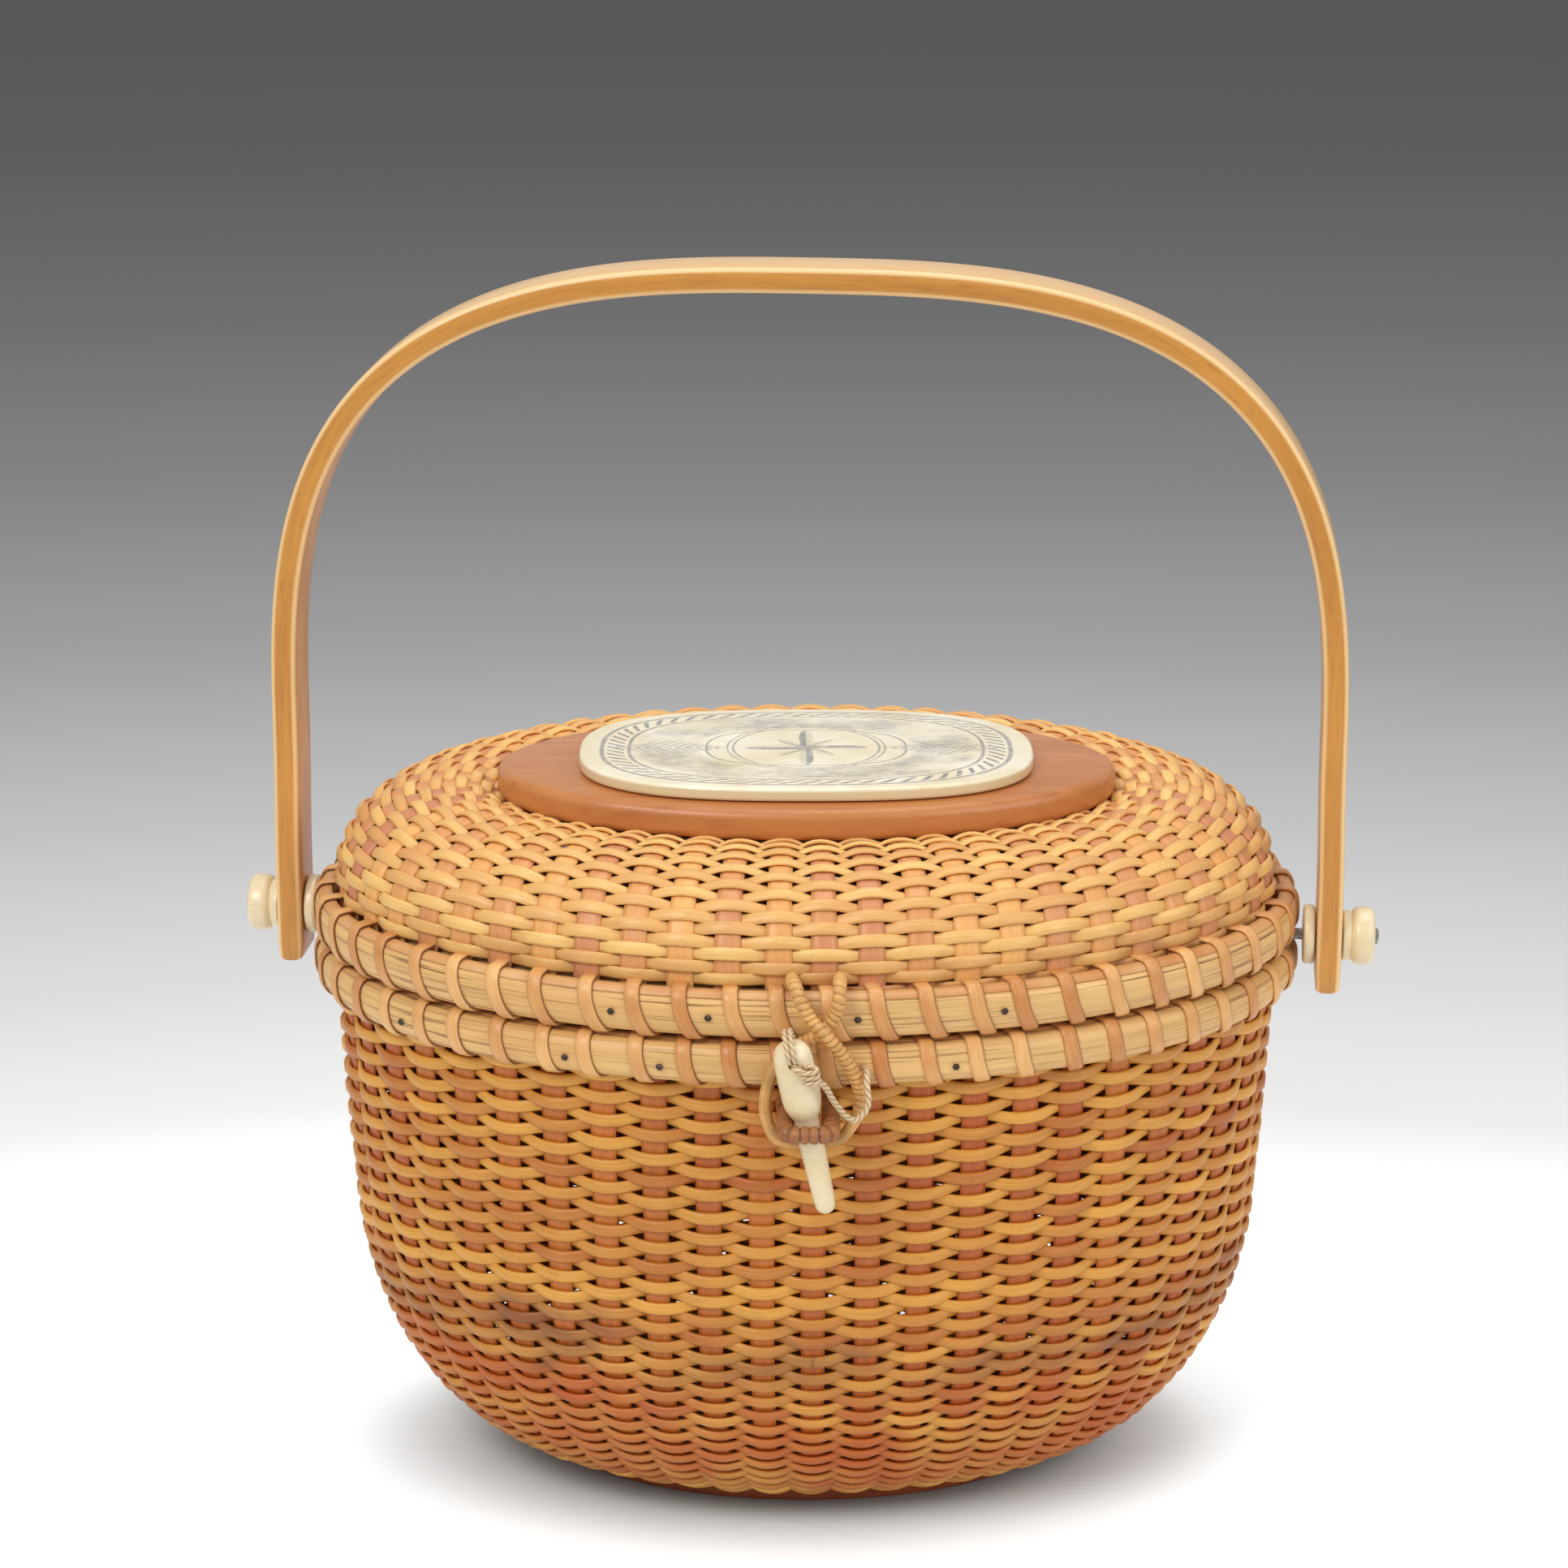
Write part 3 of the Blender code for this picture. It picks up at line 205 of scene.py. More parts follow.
class Finish:
    """A material that is being put together."""

    def __init__(self, name, roughness=0.5, coat=0.0):
        self.material = bpy.data.materials.new(name)
        self.material.use_nodes = True
        self.tree = self.material.node_tree
        self.shader = self.tree.nodes["Principled BSDF"]
        self.shader.inputs["Roughness"].default_value = roughness
        self.shader.inputs["Coat Weight"].default_value = coat
        self.shader.inputs["Coat Roughness"].default_value = 0.18

    def node(self, kind, settings=None, values=None, output=0):
        """Add a node, set it up, feed it and return one of its outputs."""
        node = self.tree.nodes.new(kind)
        for key, setting in (settings or {}).items():
            if key == "stops":
                ramp = node.color_ramp
                while len(ramp.elements) < len(setting):
                    ramp.elements.new(1.0)
                for element, (place, colour) in zip(ramp.elements, setting):
                    element.position = place
                    element.color = (*colour, 1.0)
            else:
                setattr(node, key, setting)
        for key, value in (values or {}).items():
            if isinstance(value, Socket):
                self.tree.links.new(value.link, node.inputs[key])
            else:
                node.inputs[key].default_value = value
        return Socket(self, node.outputs[output])

    def place(self, scale=(1.0, 1.0, 1.0), kind="Object"):
        """Return stretched coordinates."""
        where = self.node("ShaderNodeTexCoord", output=kind)
        return self.node("ShaderNodeMapping", None, {"Vector": where, "Scale": scale})

    def noise(self, where, scale=1.0, detail=3.0, roughness=0.55):
        """Return a cloudy value from 0 to 1."""
        return self.node("ShaderNodeTexNoise", None, {
            "Vector": where, "Scale": scale, "Detail": detail, "Roughness": roughness})

    def spread(self, value, low, high, to_low=0.0, to_high=1.0):
        """Stretch part of a value's range, held at its ends."""
        return self.node("ShaderNodeMapRange", None, {
            "Value": value, "From Min": low, "From Max": high, "To Min": to_low, "To Max": to_high})

    def mix(self, share, first, second, blend="MIX"):
        """Mix two colours."""
        settings = {"data_type": "RGBA", "blend_type": blend}
        full = {}
        for key, value in ((0, share), (6, first), (7, second)):
            full[key] = value if isinstance(value, Socket) or key == 0 else (*value, 1.0)
        return self.node("ShaderNodeMix", settings, full, 2)

    def attribute(self, name):
        """Return one of the piece's own values."""
        return self.node("ShaderNodeAttribute", {"attribute_name": name}, None, "Fac")

    def axis(self, where, letter):
        """Return one coordinate."""
        return self.node("ShaderNodeSeparateXYZ", None, {0: where}, letter)

    def bump(self, height, strength, distance):
        """Raise the surface by a value."""
        raised = self.node("ShaderNodeBump", None, {
            "Height": height, "Strength": strength, "Distance": distance})
        self.feed("Normal", raised)

    def feed(self, name, value):
        """Feed one of the shader's inputs."""
        if isinstance(value, Socket):
            self.tree.links.new(value.link, self.shader.inputs[name])
        elif name == "Base Color":
            self.shader.inputs[name].default_value = (*value, 1.0)
        else:
            self.shader.inputs[name].default_value = value


def shade(colour, factor):
    """Return a colour made lighter or darker."""
    return tuple(min(1.0, part * factor) for part in colour)


def woven_finish(name, base, aged, stained, zone=None):
    """Waxed cane: streaks along each strand, tones that change from strand to strand."""
    finish = Finish(name, 0.42, 0.12)
    strip = finish.place(kind="UV")
    fibre = finish.noise(finish.place((260.0, 9.0, 1.0), "UV"), 1.0, 2.0, 0.6)
    streak = finish.noise(finish.place((40.0, 26.0, 1.0), "UV"), 1.0, 3.0, 0.6)
    tone = finish.attribute("tone")
    cloud = finish.noise(finish.place((1.0, 1.0, 1.0)), 38.0, 3.0, 0.6)
    age = finish.spread(tone + (cloud - 0.5) * 0.7, 0.30, 0.95)
    colour = finish.mix(age, base, aged)
    pale = finish.spread(tone * -1.0 + cloud * 0.6, -0.05, 0.30)
    colour = finish.mix(pale * 0.65, colour, shade(base, 1.30))
    if zone:
        height = finish.axis(finish.place(), "Z")
        for low, high, stain, weight in zone:
            wave = height + (cloud - 0.5) * 0.03
            into = finish.spread(wave, low - 0.004, low + 0.004)
            out = finish.spread(wave, high - 0.004, high + 0.004, 1.0, 0.0)
            blot = finish.spread(finish.noise(finish.place((1.0, 1.0, 2.6)), 24.0, 2.0), 0.36, 0.60)
            colour = finish.mix(into * out * blot * weight, colour, stain)
    colour = finish.mix(finish.spread(streak, 0.30, 0.75, 0.0, 0.30), colour, stained, "MULTIPLY")
    colour = finish.mix(finish.spread(fibre, 0.55, 0.80, 0.0, 0.22), colour, stained, "MULTIPLY")
    finish.feed("Base Color", colour)
    finish.feed("Roughness", finish.spread(streak, 0.2, 0.8, 0.36, 0.56))
    finish.bump(fibre + streak * 0.6, 0.22, 0.00025)
    finish.axis(strip, "X")
    return finish.material


def reed_finish(name, base):
    """Pale reed with fine dark streaks along its length."""
    finish = Finish(name, 0.45, 0.10)
    fine = finish.noise(finish.place((22.0, 24.0, 1.0), "UV"), 1.0, 3.0, 0.62)
    broad = finish.noise(finish.place((9.0, 7.0, 1.0), "UV"), 1.0, 2.0, 0.55)
    cloud = finish.noise(finish.place(), 26.0, 3.0, 0.55)
    colour = finish.mix(finish.spread(broad, 0.32, 0.68), shade(base, 0.84), shade(base, 1.10))
    warm = finish.spread(cloud, 0.42, 0.70, 0.0, 0.55)
    colour = finish.mix(warm, colour, linear(216, 160, 92))
    line = finish.spread(fine, 0.53, 0.64)
    colour = finish.mix(line * 0.66, colour, linear(150, 102, 54))
    deep = finish.spread(fine * broad, 0.33, 0.41)
    colour = finish.mix(deep * 0.60, colour, linear(88, 54, 24))
    finish.feed("Base Color", colour)
    finish.feed("Roughness", finish.spread(fine, 0.3, 0.7, 0.40, 0.58))
    finish.bump(fine * -1.0, 0.30, 0.0003)
    return finish.material


def strip_finish(name, base, edge=0.0):
    """A flat cane strip with a faint grain and, where edge is given, a painted shadow line along one edge."""
    finish = Finish(name, 0.42, 0.15)
    grain = finish.noise(finish.place((60.0, 30.0, 1.0), "UV"), 1.0, 2.0, 0.6)
    cloud = finish.noise(finish.place(), 70.0, 2.0, 0.6)
    tone = finish.attribute("tone")
    colour = finish.mix(finish.spread(cloud + tone * 0.4, 0.45, 0.95), base, linear(204, 136, 74))
    colour = finish.mix(finish.spread(grain, 0.4, 0.8, 0.0, 0.35), colour, linear(190, 140, 90), "MULTIPLY")
    # painted shadow: a dark line along one edge of the strip, where it stands off the hoop, with a little dark wax
    if edge:
        across = finish.axis(finish.place(kind="UV"), "Y")
        colour = finish.mix(finish.spread(across, edge, edge + 0.05) * 0.75, colour, linear(84, 46, 20))
    finish.feed("Base Color", colour)
    finish.bump(grain, 0.15, 0.0002)
    return finish.material


def wrap_finish(name, base):
    """Cane wound round a core, with painted shade in the grooves between its turns."""
    finish = Finish(name, 0.48, 0.10)
    grain = finish.noise(finish.place(), 900.0, 3.0, 0.6)
    cloud = finish.noise(finish.place(), 160.0, 2.0, 0.6)
    colour = finish.mix(finish.spread(cloud, 0.35, 0.70), base, shade(base, 0.66))
    colour = finish.mix(finish.spread(grain, 0.45, 0.80, 0.0, 0.45), colour, shade(base, 0.45))
    # painted shade: tone holds how deep the surface dips into a groove, and darkens the cane there
    colour = finish.mix(finish.attribute("tone") * 0.90, colour, linear(74, 38, 16))
    finish.feed("Base Color", colour)
    finish.bump(grain, 0.20, 0.0002)
    return finish.material


def wood_finish(name, base, dark, grain_scale, coat, along="X", rings=0.5, painted_highlight=None):
    """Planed wood: broad figure, fine pores along the grain and a satin varnish, with an optional painted highlight
    where the piece marks its edges.
    """
    finish = Finish(name, 0.36, coat)
    stretch = {"X": (0.10, 1.0, 1.0), "Y": (1.0, 0.10, 1.0), "UV": (0.24, 0.17, 1.0)}[along]
    kind = "UV" if along == "UV" else "Object"
    where = finish.place(stretch, kind)
    warp = finish.noise(where, grain_scale * 0.35, 3.0, 0.55)
    figure = finish.noise(where, grain_scale, 4.0, 0.6)
    pore = finish.noise(where, grain_scale * 5.5, 2.0, 0.6)
    band = finish.spread(figure + (warp - 0.5) * 0.6, 0.36, 0.66)
    colour = finish.mix(band * rings, base, dark)
    colour = finish.mix(finish.spread(warp, 0.40, 0.66, 0.0, 0.45), colour, shade(base, 1.18))
    colour = finish.mix(finish.spread(pore, 0.56, 0.72, 0.0, 0.40), colour, dark)
    # painted highlight: the piece's edge value mixes a pale colour into its rounded edges and outer face
    if painted_highlight:
        colour = finish.mix(finish.attribute("edge"), colour, painted_highlight)
    finish.feed("Base Color", colour)
    finish.feed("Roughness", finish.spread(figure, 0.3, 0.7, 0.28, 0.46))
    finish.bump(pore * -1.0 + figure * 0.3, 0.12, 0.0002)
    return finish.material


def ivory_finish(name, base):
    """Polished ivory colour with faint lines and a warmer bloom."""
    finish = Finish(name, 0.28, 0.25)
    cloud = finish.noise(finish.place(), 60.0, 3.0, 0.6)
    line = finish.noise(finish.place((1.0, 6.0, 26.0)), 60.0, 2.0, 0.5)
    colour = finish.mix(finish.spread(cloud, 0.35, 0.70), base, linear(228, 206, 158))
    colour = finish.mix(finish.spread(line, 0.50, 0.75, 0.0, 0.30), colour, linear(214, 190, 146))
    finish.feed("Base Color", colour)
    finish.feed("Roughness", finish.spread(cloud, 0.3, 0.7, 0.22, 0.38))
    finish.bump(line, 0.05, 0.0002)
    finish.shader.inputs["Subsurface Weight"].default_value = 0.12
    finish.shader.inputs["Subsurface Radius"].default_value = (1.0, 0.8, 0.5)
    finish.shader.inputs["Subsurface Scale"].default_value = 0.002
    return finish.material


def metal_finish(name, base, roughness):
    """Dull metal with small scratches."""
    finish = Finish(name, roughness)
    finish.feed("Metallic", 0.9)
    wear = finish.noise(finish.place(), 900.0, 3.0, 0.6)
    finish.feed("Base Color", finish.mix(finish.spread(wear, 0.35, 0.7), base, shade(base, 0.55)))
    finish.feed("Roughness", finish.spread(wear, 0.3, 0.7, roughness - 0.1, roughness + 0.15))
    finish.bump(wear, 0.1, 0.0001)
    return finish.material


def plaque_finish(name, base):
    """Ivory coloured plate with a generic engraved compass star inside a rope border."""
    finish = Finish(name, 0.30, 0.20)
    where = finish.place()
    x = finish.axis(where, "X")
    y = finish.axis(where, "Y")
    cloud = finish.noise(where, 45.0, 3.0, 0.6)
    colour = finish.mix(finish.spread(cloud, 0.35, 0.70), base, linear(230, 214, 172))
    finish.x, finish.y = x, y
    ink = engraved_star(finish, x, y)
    worn = finish.spread(finish.noise(where, 420.0, 3.0, 0.7), 0.26, 0.52, 0.40, 1.0)
    colour = finish.mix(ink * worn, colour, linear(112, 114, 126))
    side = finish.spread(finish.axis(where, "Z"), PLAQUE_HIGH.z - 0.0010, PLAQUE_HIGH.z - 0.0004, 1.0, 0.0)
    colour = finish.mix(side, colour, linear(226, 204, 160))
    finish.feed("Base Color", colour)
    finish.feed("Roughness", finish.spread(cloud, 0.3, 0.7, 0.24, 0.40))
    finish.bump(ink * -1.0, 0.25, 0.0002)
    return finish.material


def engraved_star(finish, x, y):
    """Return the ink of an eight-pointed star between two oval lines and a rope of dashes."""
    half_x, half_y = PLAQUE_HIGH.x, PLAQUE_HIGH.y

    def op(operation, first, second=0.0, third=0.0):
        values = {0: first, 1: second}
        if operation in ("MULTIPLY_ADD", "COMPARE", "SMOOTH_MIN"):
            values[2] = third
        return finish.node("ShaderNodeMath", {"operation": operation}, values)

    u = x * (1 / half_x)
    v = y * (1 / half_y)
    bow = 2.65
    radius = (op("ABSOLUTE", u) ** bow + op("ABSOLUTE", v) ** bow) ** (1 / bow)
    lines = 0.0
    for place, width in ((0.90, 0.010), (0.78, 0.008), (0.44, 0.006)):
        lines = op("MAXIMUM", finish.spread(op("ABSOLUTE", radius - place), width * 0.5, width * 1.5,
                                            0.75, 0.0), lines)
    turn = op("ARCTAN2", v, u)
    slant = op("SINE", turn * 64.0 + radius * 90.0)
    dash = finish.spread(slant, 0.15, 0.65)
    between = finish.spread(radius, 0.80, 0.805) * finish.spread(radius, 0.875, 0.88, 1.0, 0.0)
    rope = dash * between * 0.85
    shadow = finish.spread(finish.noise(finish.place((1.0, 1.5, 1.0)), 62.0, 3.0, 0.6), 0.42, 0.62, 0.10, 1.0)
    swell = op("SINE", y * 5200.0 + op("SINE", x * 420.0) * 1.6)
    field = finish.spread(radius, 0.46, 0.50) * finish.spread(radius, 0.72, 0.77, 1.0, 0.0)
    waves = finish.spread(swell, -0.35, 0.55, 0.18, 0.85) * field * shadow
    across = op("SQRT", x * x + y * y)
    angle = op("ARCTAN2", y, x)
    ink = op("MAXIMUM", op("MAXIMUM", lines, rope), waves)
    for count, reach, waist, depth in ((4.0, 0.0150, 0.0030, 0.80), (4.0, 0.0095, 0.0028, 0.50)):
        shift = 0.0 if depth > 0.6 else math.pi / 4
        wave = op("ABSOLUTE", op("COSINE", (angle + shift) * (count / 2)))
        edge = waist + (wave ** 9.0) * (reach - waist)
        inside = finish.spread(across - edge, -0.0003, 0.0002, 1.0, 0.0)
        half = finish.spread(op("SINE", (angle + shift) * count), -0.1, 0.1, 0.30, 1.0)
        ink = op("MAXIMUM", ink, inside * half * depth)
    for place, width in ((0.0178, 0.00028), (0.0192, 0.00022)):
        ring = finish.spread(op("ABSOLUTE", across - place), width * 0.6, width * 1.4, 0.7, 0.0)
        ink = op("MAXIMUM", ink, ring)
    for side in (-1.0, 1.0):
        px = x * side - 0.0335
        lens = op("ABSOLUTE", y) - op("MULTIPLY", 0.0062 - op("ABSOLUTE", px) * 0.42, 1.0)
        leaf = finish.spread(lens, -0.0003, 0.0003, 1.0, 0.0)
        vein = finish.spread(op("SINE", px * 2600.0 + op("ABSOLUTE", y) * 2300.0), 0.2, 0.7, 0.25, 0.8)
        ink = op("MAXIMUM", ink, leaf * vein * 0.7)
    return ink


def linen_finish(name, base):
    """Twisted linen: slanting plies and fine fuzz."""
    finish = Finish(name, 0.85)
    fuzz = finish.noise(finish.place(), 1500.0, 2.0, 0.7)
    where = finish.place(kind="UV")
    ply = finish.node("ShaderNodeMath", {"operation": "SINE"}, {
        0: finish.axis(where, "X") * 3600.0 + finish.axis(where, "Y") * 18.85})
    colour = finish.mix(finish.spread(ply, -0.9, 0.0), linear(178, 140, 100), base)
    colour = finish.mix(finish.spread(fuzz, 0.3, 0.7, 0.0, 0.25), colour, linear(150, 130, 98))
    finish.feed("Base Color", colour)
    finish.bump(ply * 0.6 + fuzz * 0.4, 0.35, 0.0003)
    return finish.material


FINISHES = {}


def finish_of(name):
    """Return a finish, made the first time that it is asked for."""
    c = colours()
    makers = {
        "strands": lambda: woven_finish("body_cane", c.strand, c.strand_dark, linear(150, 92, 48), (
            (0.044, 0.060, linear(130, 70, 32), 0.85), (0.012, 0.045, linear(190, 86, 14), 0.80))),
        "lid_strands": lambda: woven_finish("lid_cane", c.lid_strand, linear(222, 160, 96), linear(196, 134, 78), (
            (LID_LASH_HIGH.z - 0.006, LID_LASH_HIGH.z + 0.0035, linear(176, 110, 56), 0.60),)),
        "staves": lambda: woven_finish("stave_wood", c.stave, linear(192, 98, 40), linear(150, 88, 46), (
            (0.012, 0.058, linear(198, 90, 20), 0.65),)),
        "lid_staves": lambda: woven_finish("lid_stave_wood", c.lid_stave, linear(214, 144, 102),
                                           linear(176, 110, 68)),
        "reed": lambda: reed_finish("hoop_reed", c.reed),
        # the lashing's painted shadow line runs along its edge from 0.78 across the strip
        "lashing": lambda: strip_finish("lashing_cane", c.lashing, 0.78),
        "cane": lambda: strip_finish("split_cane", c.lashing),
        "loop": lambda: wrap_finish("wrapped_cane", linear(234, 176, 102)),
        # the staple's wrapping is darker than the loop's: partly aged cane, partly painted shade where it sits in the
        # peg's shadow
        "staple": lambda: wrap_finish("aged_and_shaded_wrapping", linear(172, 108, 58)),
        "filler": lambda: strip_finish("rim_filler_cane", linear(226, 180, 124)),
        # painted highlight: the handle's edges and outer face mix towards linear(252, 218, 160)
        "bentwood": lambda: wood_finish("oiled_bentwood", c.bentwood, linear(156, 88, 30), 90.0, 0.25,
                                        "UV", 0.50, linear(252, 218, 160)),
        "ear": lambda: wood_finish("ear_wood", c.bentwood, linear(150, 88, 38), 120.0, 0.1, "Y"),
        "board": lambda: wood_finish("cherry_board", c.board, linear(160, 88, 46), 70.0, 0.15, "X"),
        # painted shade: the base board is a darker copy of the cherry, for the shade under the basket
        "base": lambda: wood_finish("cherry_base", linear(150, 72, 32), linear(104, 44, 18), 70.0, 0.10, "X"),
        "ivory": lambda: ivory_finish("ivory_colour", c.ivory),
        "plaque": lambda: plaque_finish("engraved_plate", c.plate),
        "pin": lambda: metal_finish("dull_pin", (0.42, 0.40, 0.36), 0.42),
        "nail": lambda: metal_finish("dark_nail", (0.10, 0.08, 0.06), 0.50),
        "linen": lambda: linen_finish("linen_cord", c.linen),
    }
    if name not in FINISHES:
        FINISHES[name] = makers[name]()
    return FINISHES[name]


# Pieces

def settle(item, name, finish, body, stands_for=()):
    """Name a piece, place it in the frame and give it its finish and its body."""
    bpy.ops.object.select_all(action="DESELECT")
    item.select_set(True)
    bpy.context.view_layer.objects.active = item
    bpy.ops.object.transform_apply(location=True, rotation=True, scale=True)
    item.name = name
    item.data.name = name
    item.data.materials.clear()
    item.data.materials.append(finish_of(finish))
    if body:
        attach(item, body)
    if stands_for:
        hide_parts(*stands_for)
    return item


def smooth(item, degrees=35.0):
    """Shade a piece smooth apart from its sharp edges."""
    bpy.ops.object.select_all(action="DESELECT")
    item.select_set(True)
    bpy.context.view_layer.objects.active = item
    bpy.ops.object.shade_smooth_by_angle(angle=math.radians(degrees))


def face_out(item):
    """Turn all faces of a closed piece outwards."""
    bpy.ops.object.select_all(action="DESELECT")
    item.select_set(True)
    bpy.context.view_layer.objects.active = item
    bpy.ops.object.mode_set(mode="EDIT")
    bpy.ops.mesh.select_all(action="SELECT")
    bpy.ops.mesh.remove_doubles(threshold=0.000002)
    bpy.ops.mesh.normals_make_consistent(inside=False)
    bpy.ops.object.mode_set(mode="OBJECT")


class Bundle:
    """Strands that are swept one after another into one piece."""

    def __init__(self):
        self.points = []
        self.faces = []
        self.corners = []
        self.tones = []

    def add(self, rings, closed, tones, step=1.0):
        """Sweep rings of points into a strand with its own map and tone."""
        first = len(self.points)
        count = len(rings[0])
        for ring, tone in zip(rings, tones):
            self.points.extend(ring)
            self.tones.extend(tone if isinstance(tone, list) else [tone] * count)
        last = len(rings) if closed else len(rings) - 1
        for index in range(last):
            low = first + index * count
            high = first + (index + 1) % len(rings) * count
            u, w = index * step, (index + 1) * step
            for side in range(count):
                after = (side + 1) % count
                self.faces.append((low + side, low + after, high + after, high + side))
                v, z = side / count, (side + 1) / count
                self.corners.extend(((u, v), (u, z), (w, z), (w, v)))
        if not closed:
            end = first + (len(rings) - 1) * count
            self.faces.append(tuple(range(first + count - 1, first - 1, -1)))
            self.faces.append(tuple(range(end, end + count)))
            self.corners.extend([(0.0, 0.5)] * count + [(last * step, 0.5)] * count)

    def build(self, name):
        """Make the piece."""
        mesh = bpy.data.meshes.new(name)
        mesh.from_pydata(self.points, [], self.faces)
        layer = mesh.uv_layers.new(name="strip")
        layer.data.foreach_set("uv", [value for corner in self.corners for value in corner])
        tone = mesh.attributes.new("tone", "FLOAT", "POINT")
        tone.data.foreach_set("value", self.tones)
        mesh.shade_smooth()
        item = bpy.data.objects.new(name, mesh)
        bpy.context.collection.objects.link(item)
        bm = bmesh.new()
        bm.from_mesh(mesh)
        bmesh.ops.recalc_face_normals(bm, faces=bm.faces)
        bm.to_mesh(mesh)
        bm.free()
        return item


# The ovals and walls that the strands follow

RIM_A = 0.1139
RIM_B = 0.0784
WALL_T = 0.0026
LASH_OUT = LASH_HIGH.x - RIM_A
LASH_IN = 0.0064
HOOP_OUT = HOOP_HIGH.x - RIM_A
HOOP_IN = 0.0055
SEAM = (HOOP_HIGH.z + LID_HOOP_LOW.z) / 2
BAND_ENDS = {"body": SEAM - LASH_LOW.z - 0.0003, "lid": LID_LASH_HIGH.z - SEAM - 0.0003}


def oval_table():
    """Return lengths along the rim from its front middle, at equal angles."""
    count = 2880
    total = 0.0
    lengths = [0.0]
    last = (0.0, -RIM_B)
    for step in range(1, count + 1):
        angle = -math.pi / 2 + math.tau * step / count
        point = (RIM_A * math.cos(angle), RIM_B * math.sin(angle))
        total += math.dist(point, last)
        lengths.append(total)
        last = point
    return lengths


OVAL = oval_table()
RIM_LEVEL = (RIM_A, RIM_B, 0.0, 1.0, 0.0, 0.0, 0.0)


def rim_angle(place, count=56):
    """Return the oval's angle at a place counted in shares of its length from the front middle."""
    turns, rest = divmod(place, count)
    target = rest * OVAL[-1] / count
    high = min(max(bisect.bisect_right(OVAL, target), 1), len(OVAL) - 1)
    part = (target - OVAL[high - 1]) / (OVAL[high] - OVAL[high - 1])
    return -math.pi / 2 + math.tau * (turns + (high - 1 + part) / (len(OVAL) - 1))


def wall_point(level, angle, out, up, along=0.0):
    """Return a point off a wall's middle, outwards, up the wall and along the oval."""
    half_a, half_b, z, side, rise, lift, fan = level
    angle -= fan * math.sin(2 * angle)
    cosine, sine = math.cos(angle), math.sin(angle)
    nx, ny = half_b * cosine, half_a * sine
    size = math.hypot(nx, ny)
    nx /= size
    ny /= size
    lateral = out * side - up * rise
    return (half_a * cosine + nx * lateral - ny * along,
            half_b * sine + ny * lateral + nx * along,
            z + out * rise + up * side + lift * sine)


class Wall:
    """A wall's levels (half_a, half_b, z, lift, fan) from its foot to its end, walked by length."""

    def __init__(self, profile):
        self.profile = profile
        self.lengths = [0.0]
        for low, high in zip(profile, profile[1:]):
            step = math.hypot((high[0] + high[1] - low[0] - low[1]) / 2, high[2] - low[2])
            self.lengths.append(self.lengths[-1] + step)
        self.total = self.lengths[-1]

    def spot(self, length):
        high = min(max(bisect.bisect_right(self.lengths, length), 1), len(self.lengths) - 1)
        low = high - 1
        part = (length - self.lengths[low]) / (self.lengths[high] - self.lengths[low])
        return [p + (q - p) * part for p, q in zip(self.profile[low], self.profile[high])]

    def level(self, length):
        """Return both half axes, the height, the outward slope, the lift and the fan at a length."""
        span = 0.0015
        before = self.spot(max(0.0, length - span))
        after = self.spot(min(self.total, length + span))
        da = (after[0] + after[1] - before[0] - before[1]) / 2
        dz = after[2] - before[2]
        size = math.hypot(da, dz)
        a, b, z, lift, fan = self.spot(length)
        return a, b, z, dz / size, -da / size, lift, fan


def body_wall():
    """Return the body's wall from the base board to the rim."""
    foot_a, foot_b = BASE_HIGH.x + 0.0007, BASE_HIGH.y + 0.0007
    foot_z, bend_z, curve, fan = 0.0060, 0.073, 1.85, 0.115
    bend = (0.224 / 2 - WALL_T / 2 - foot_a) / (RIM_A - foot_a)
    shares = []
    for step in range(49):
        angle = math.pi / 2 * (1 - step / 48)
        out = math.cos(angle) ** (2 / curve) if step else 0.0
        up = 1 - math.sin(angle) ** (2 / curve) if step < 48 else 1.0
        shares.append((bend * out, foot_z + (bend_z - foot_z) * up))
    top = HOOP_LOW.z - 0.0009
    for step in range(1, 9):
        share = step / 8
        ease = share + 0.18 * math.sin(math.pi * share) * (1 - share)
        shares.append((bend + (1 - bend) * ease, bend_z + (top - bend_z) * share))
    shares.append((1.0, HOOP_HIGH.z))
    return Wall([(foot_a + (RIM_A - foot_a) * s, foot_b + (RIM_B - foot_b) * s, z, 0.0, fan * (1 - s))
                 for s, z in shares])


def lid_wall():
    """Return the lid's wall from its rim over the dome's crest and down to the board."""
    start = LID_LASH_HIGH.z + 0.0003
    rise, dip, back_lift, crest, curve, fan = 0.0236, 0.0032, 0.0022, 0.73, 2.25, 0.127
    profile = [(RIM_A, RIM_B, z, 0.0, 0.0) for z in (LID_HOOP_LOW.z, start - 0.0006, start)]
    top_a, top_b = BOARD_HIGH.x - 0.0008, BOARD_HIGH.y - 0.0008
    levels = []
    for step in range(1, 33):
        angle = math.pi / 2 * step / 32
        out = 1 - math.cos(angle) ** (2 / curve) if step < 32 else 1.0
        up = math.sin(angle) ** (2 / curve)
        levels.append((crest * out, rise * up, back_lift * up))
    for step in range(1, 9):
        share = step / 8
        fall = share * share
        levels.append((crest + (1 - crest) * share, rise - dip * fall, back_lift * (1 - fall)))
    for share, up, lift in levels:
        profile.append((RIM_A + (top_a - RIM_A) * share, RIM_B + (top_b - RIM_B) * share, start + up, lift,
                        fan * share))
    tuck = 0.0030
    profile.append((top_a - tuck, top_b - tuck, start + rise - dip - tuck * 0.27, 0.0, fan))
    return Wall(profile)


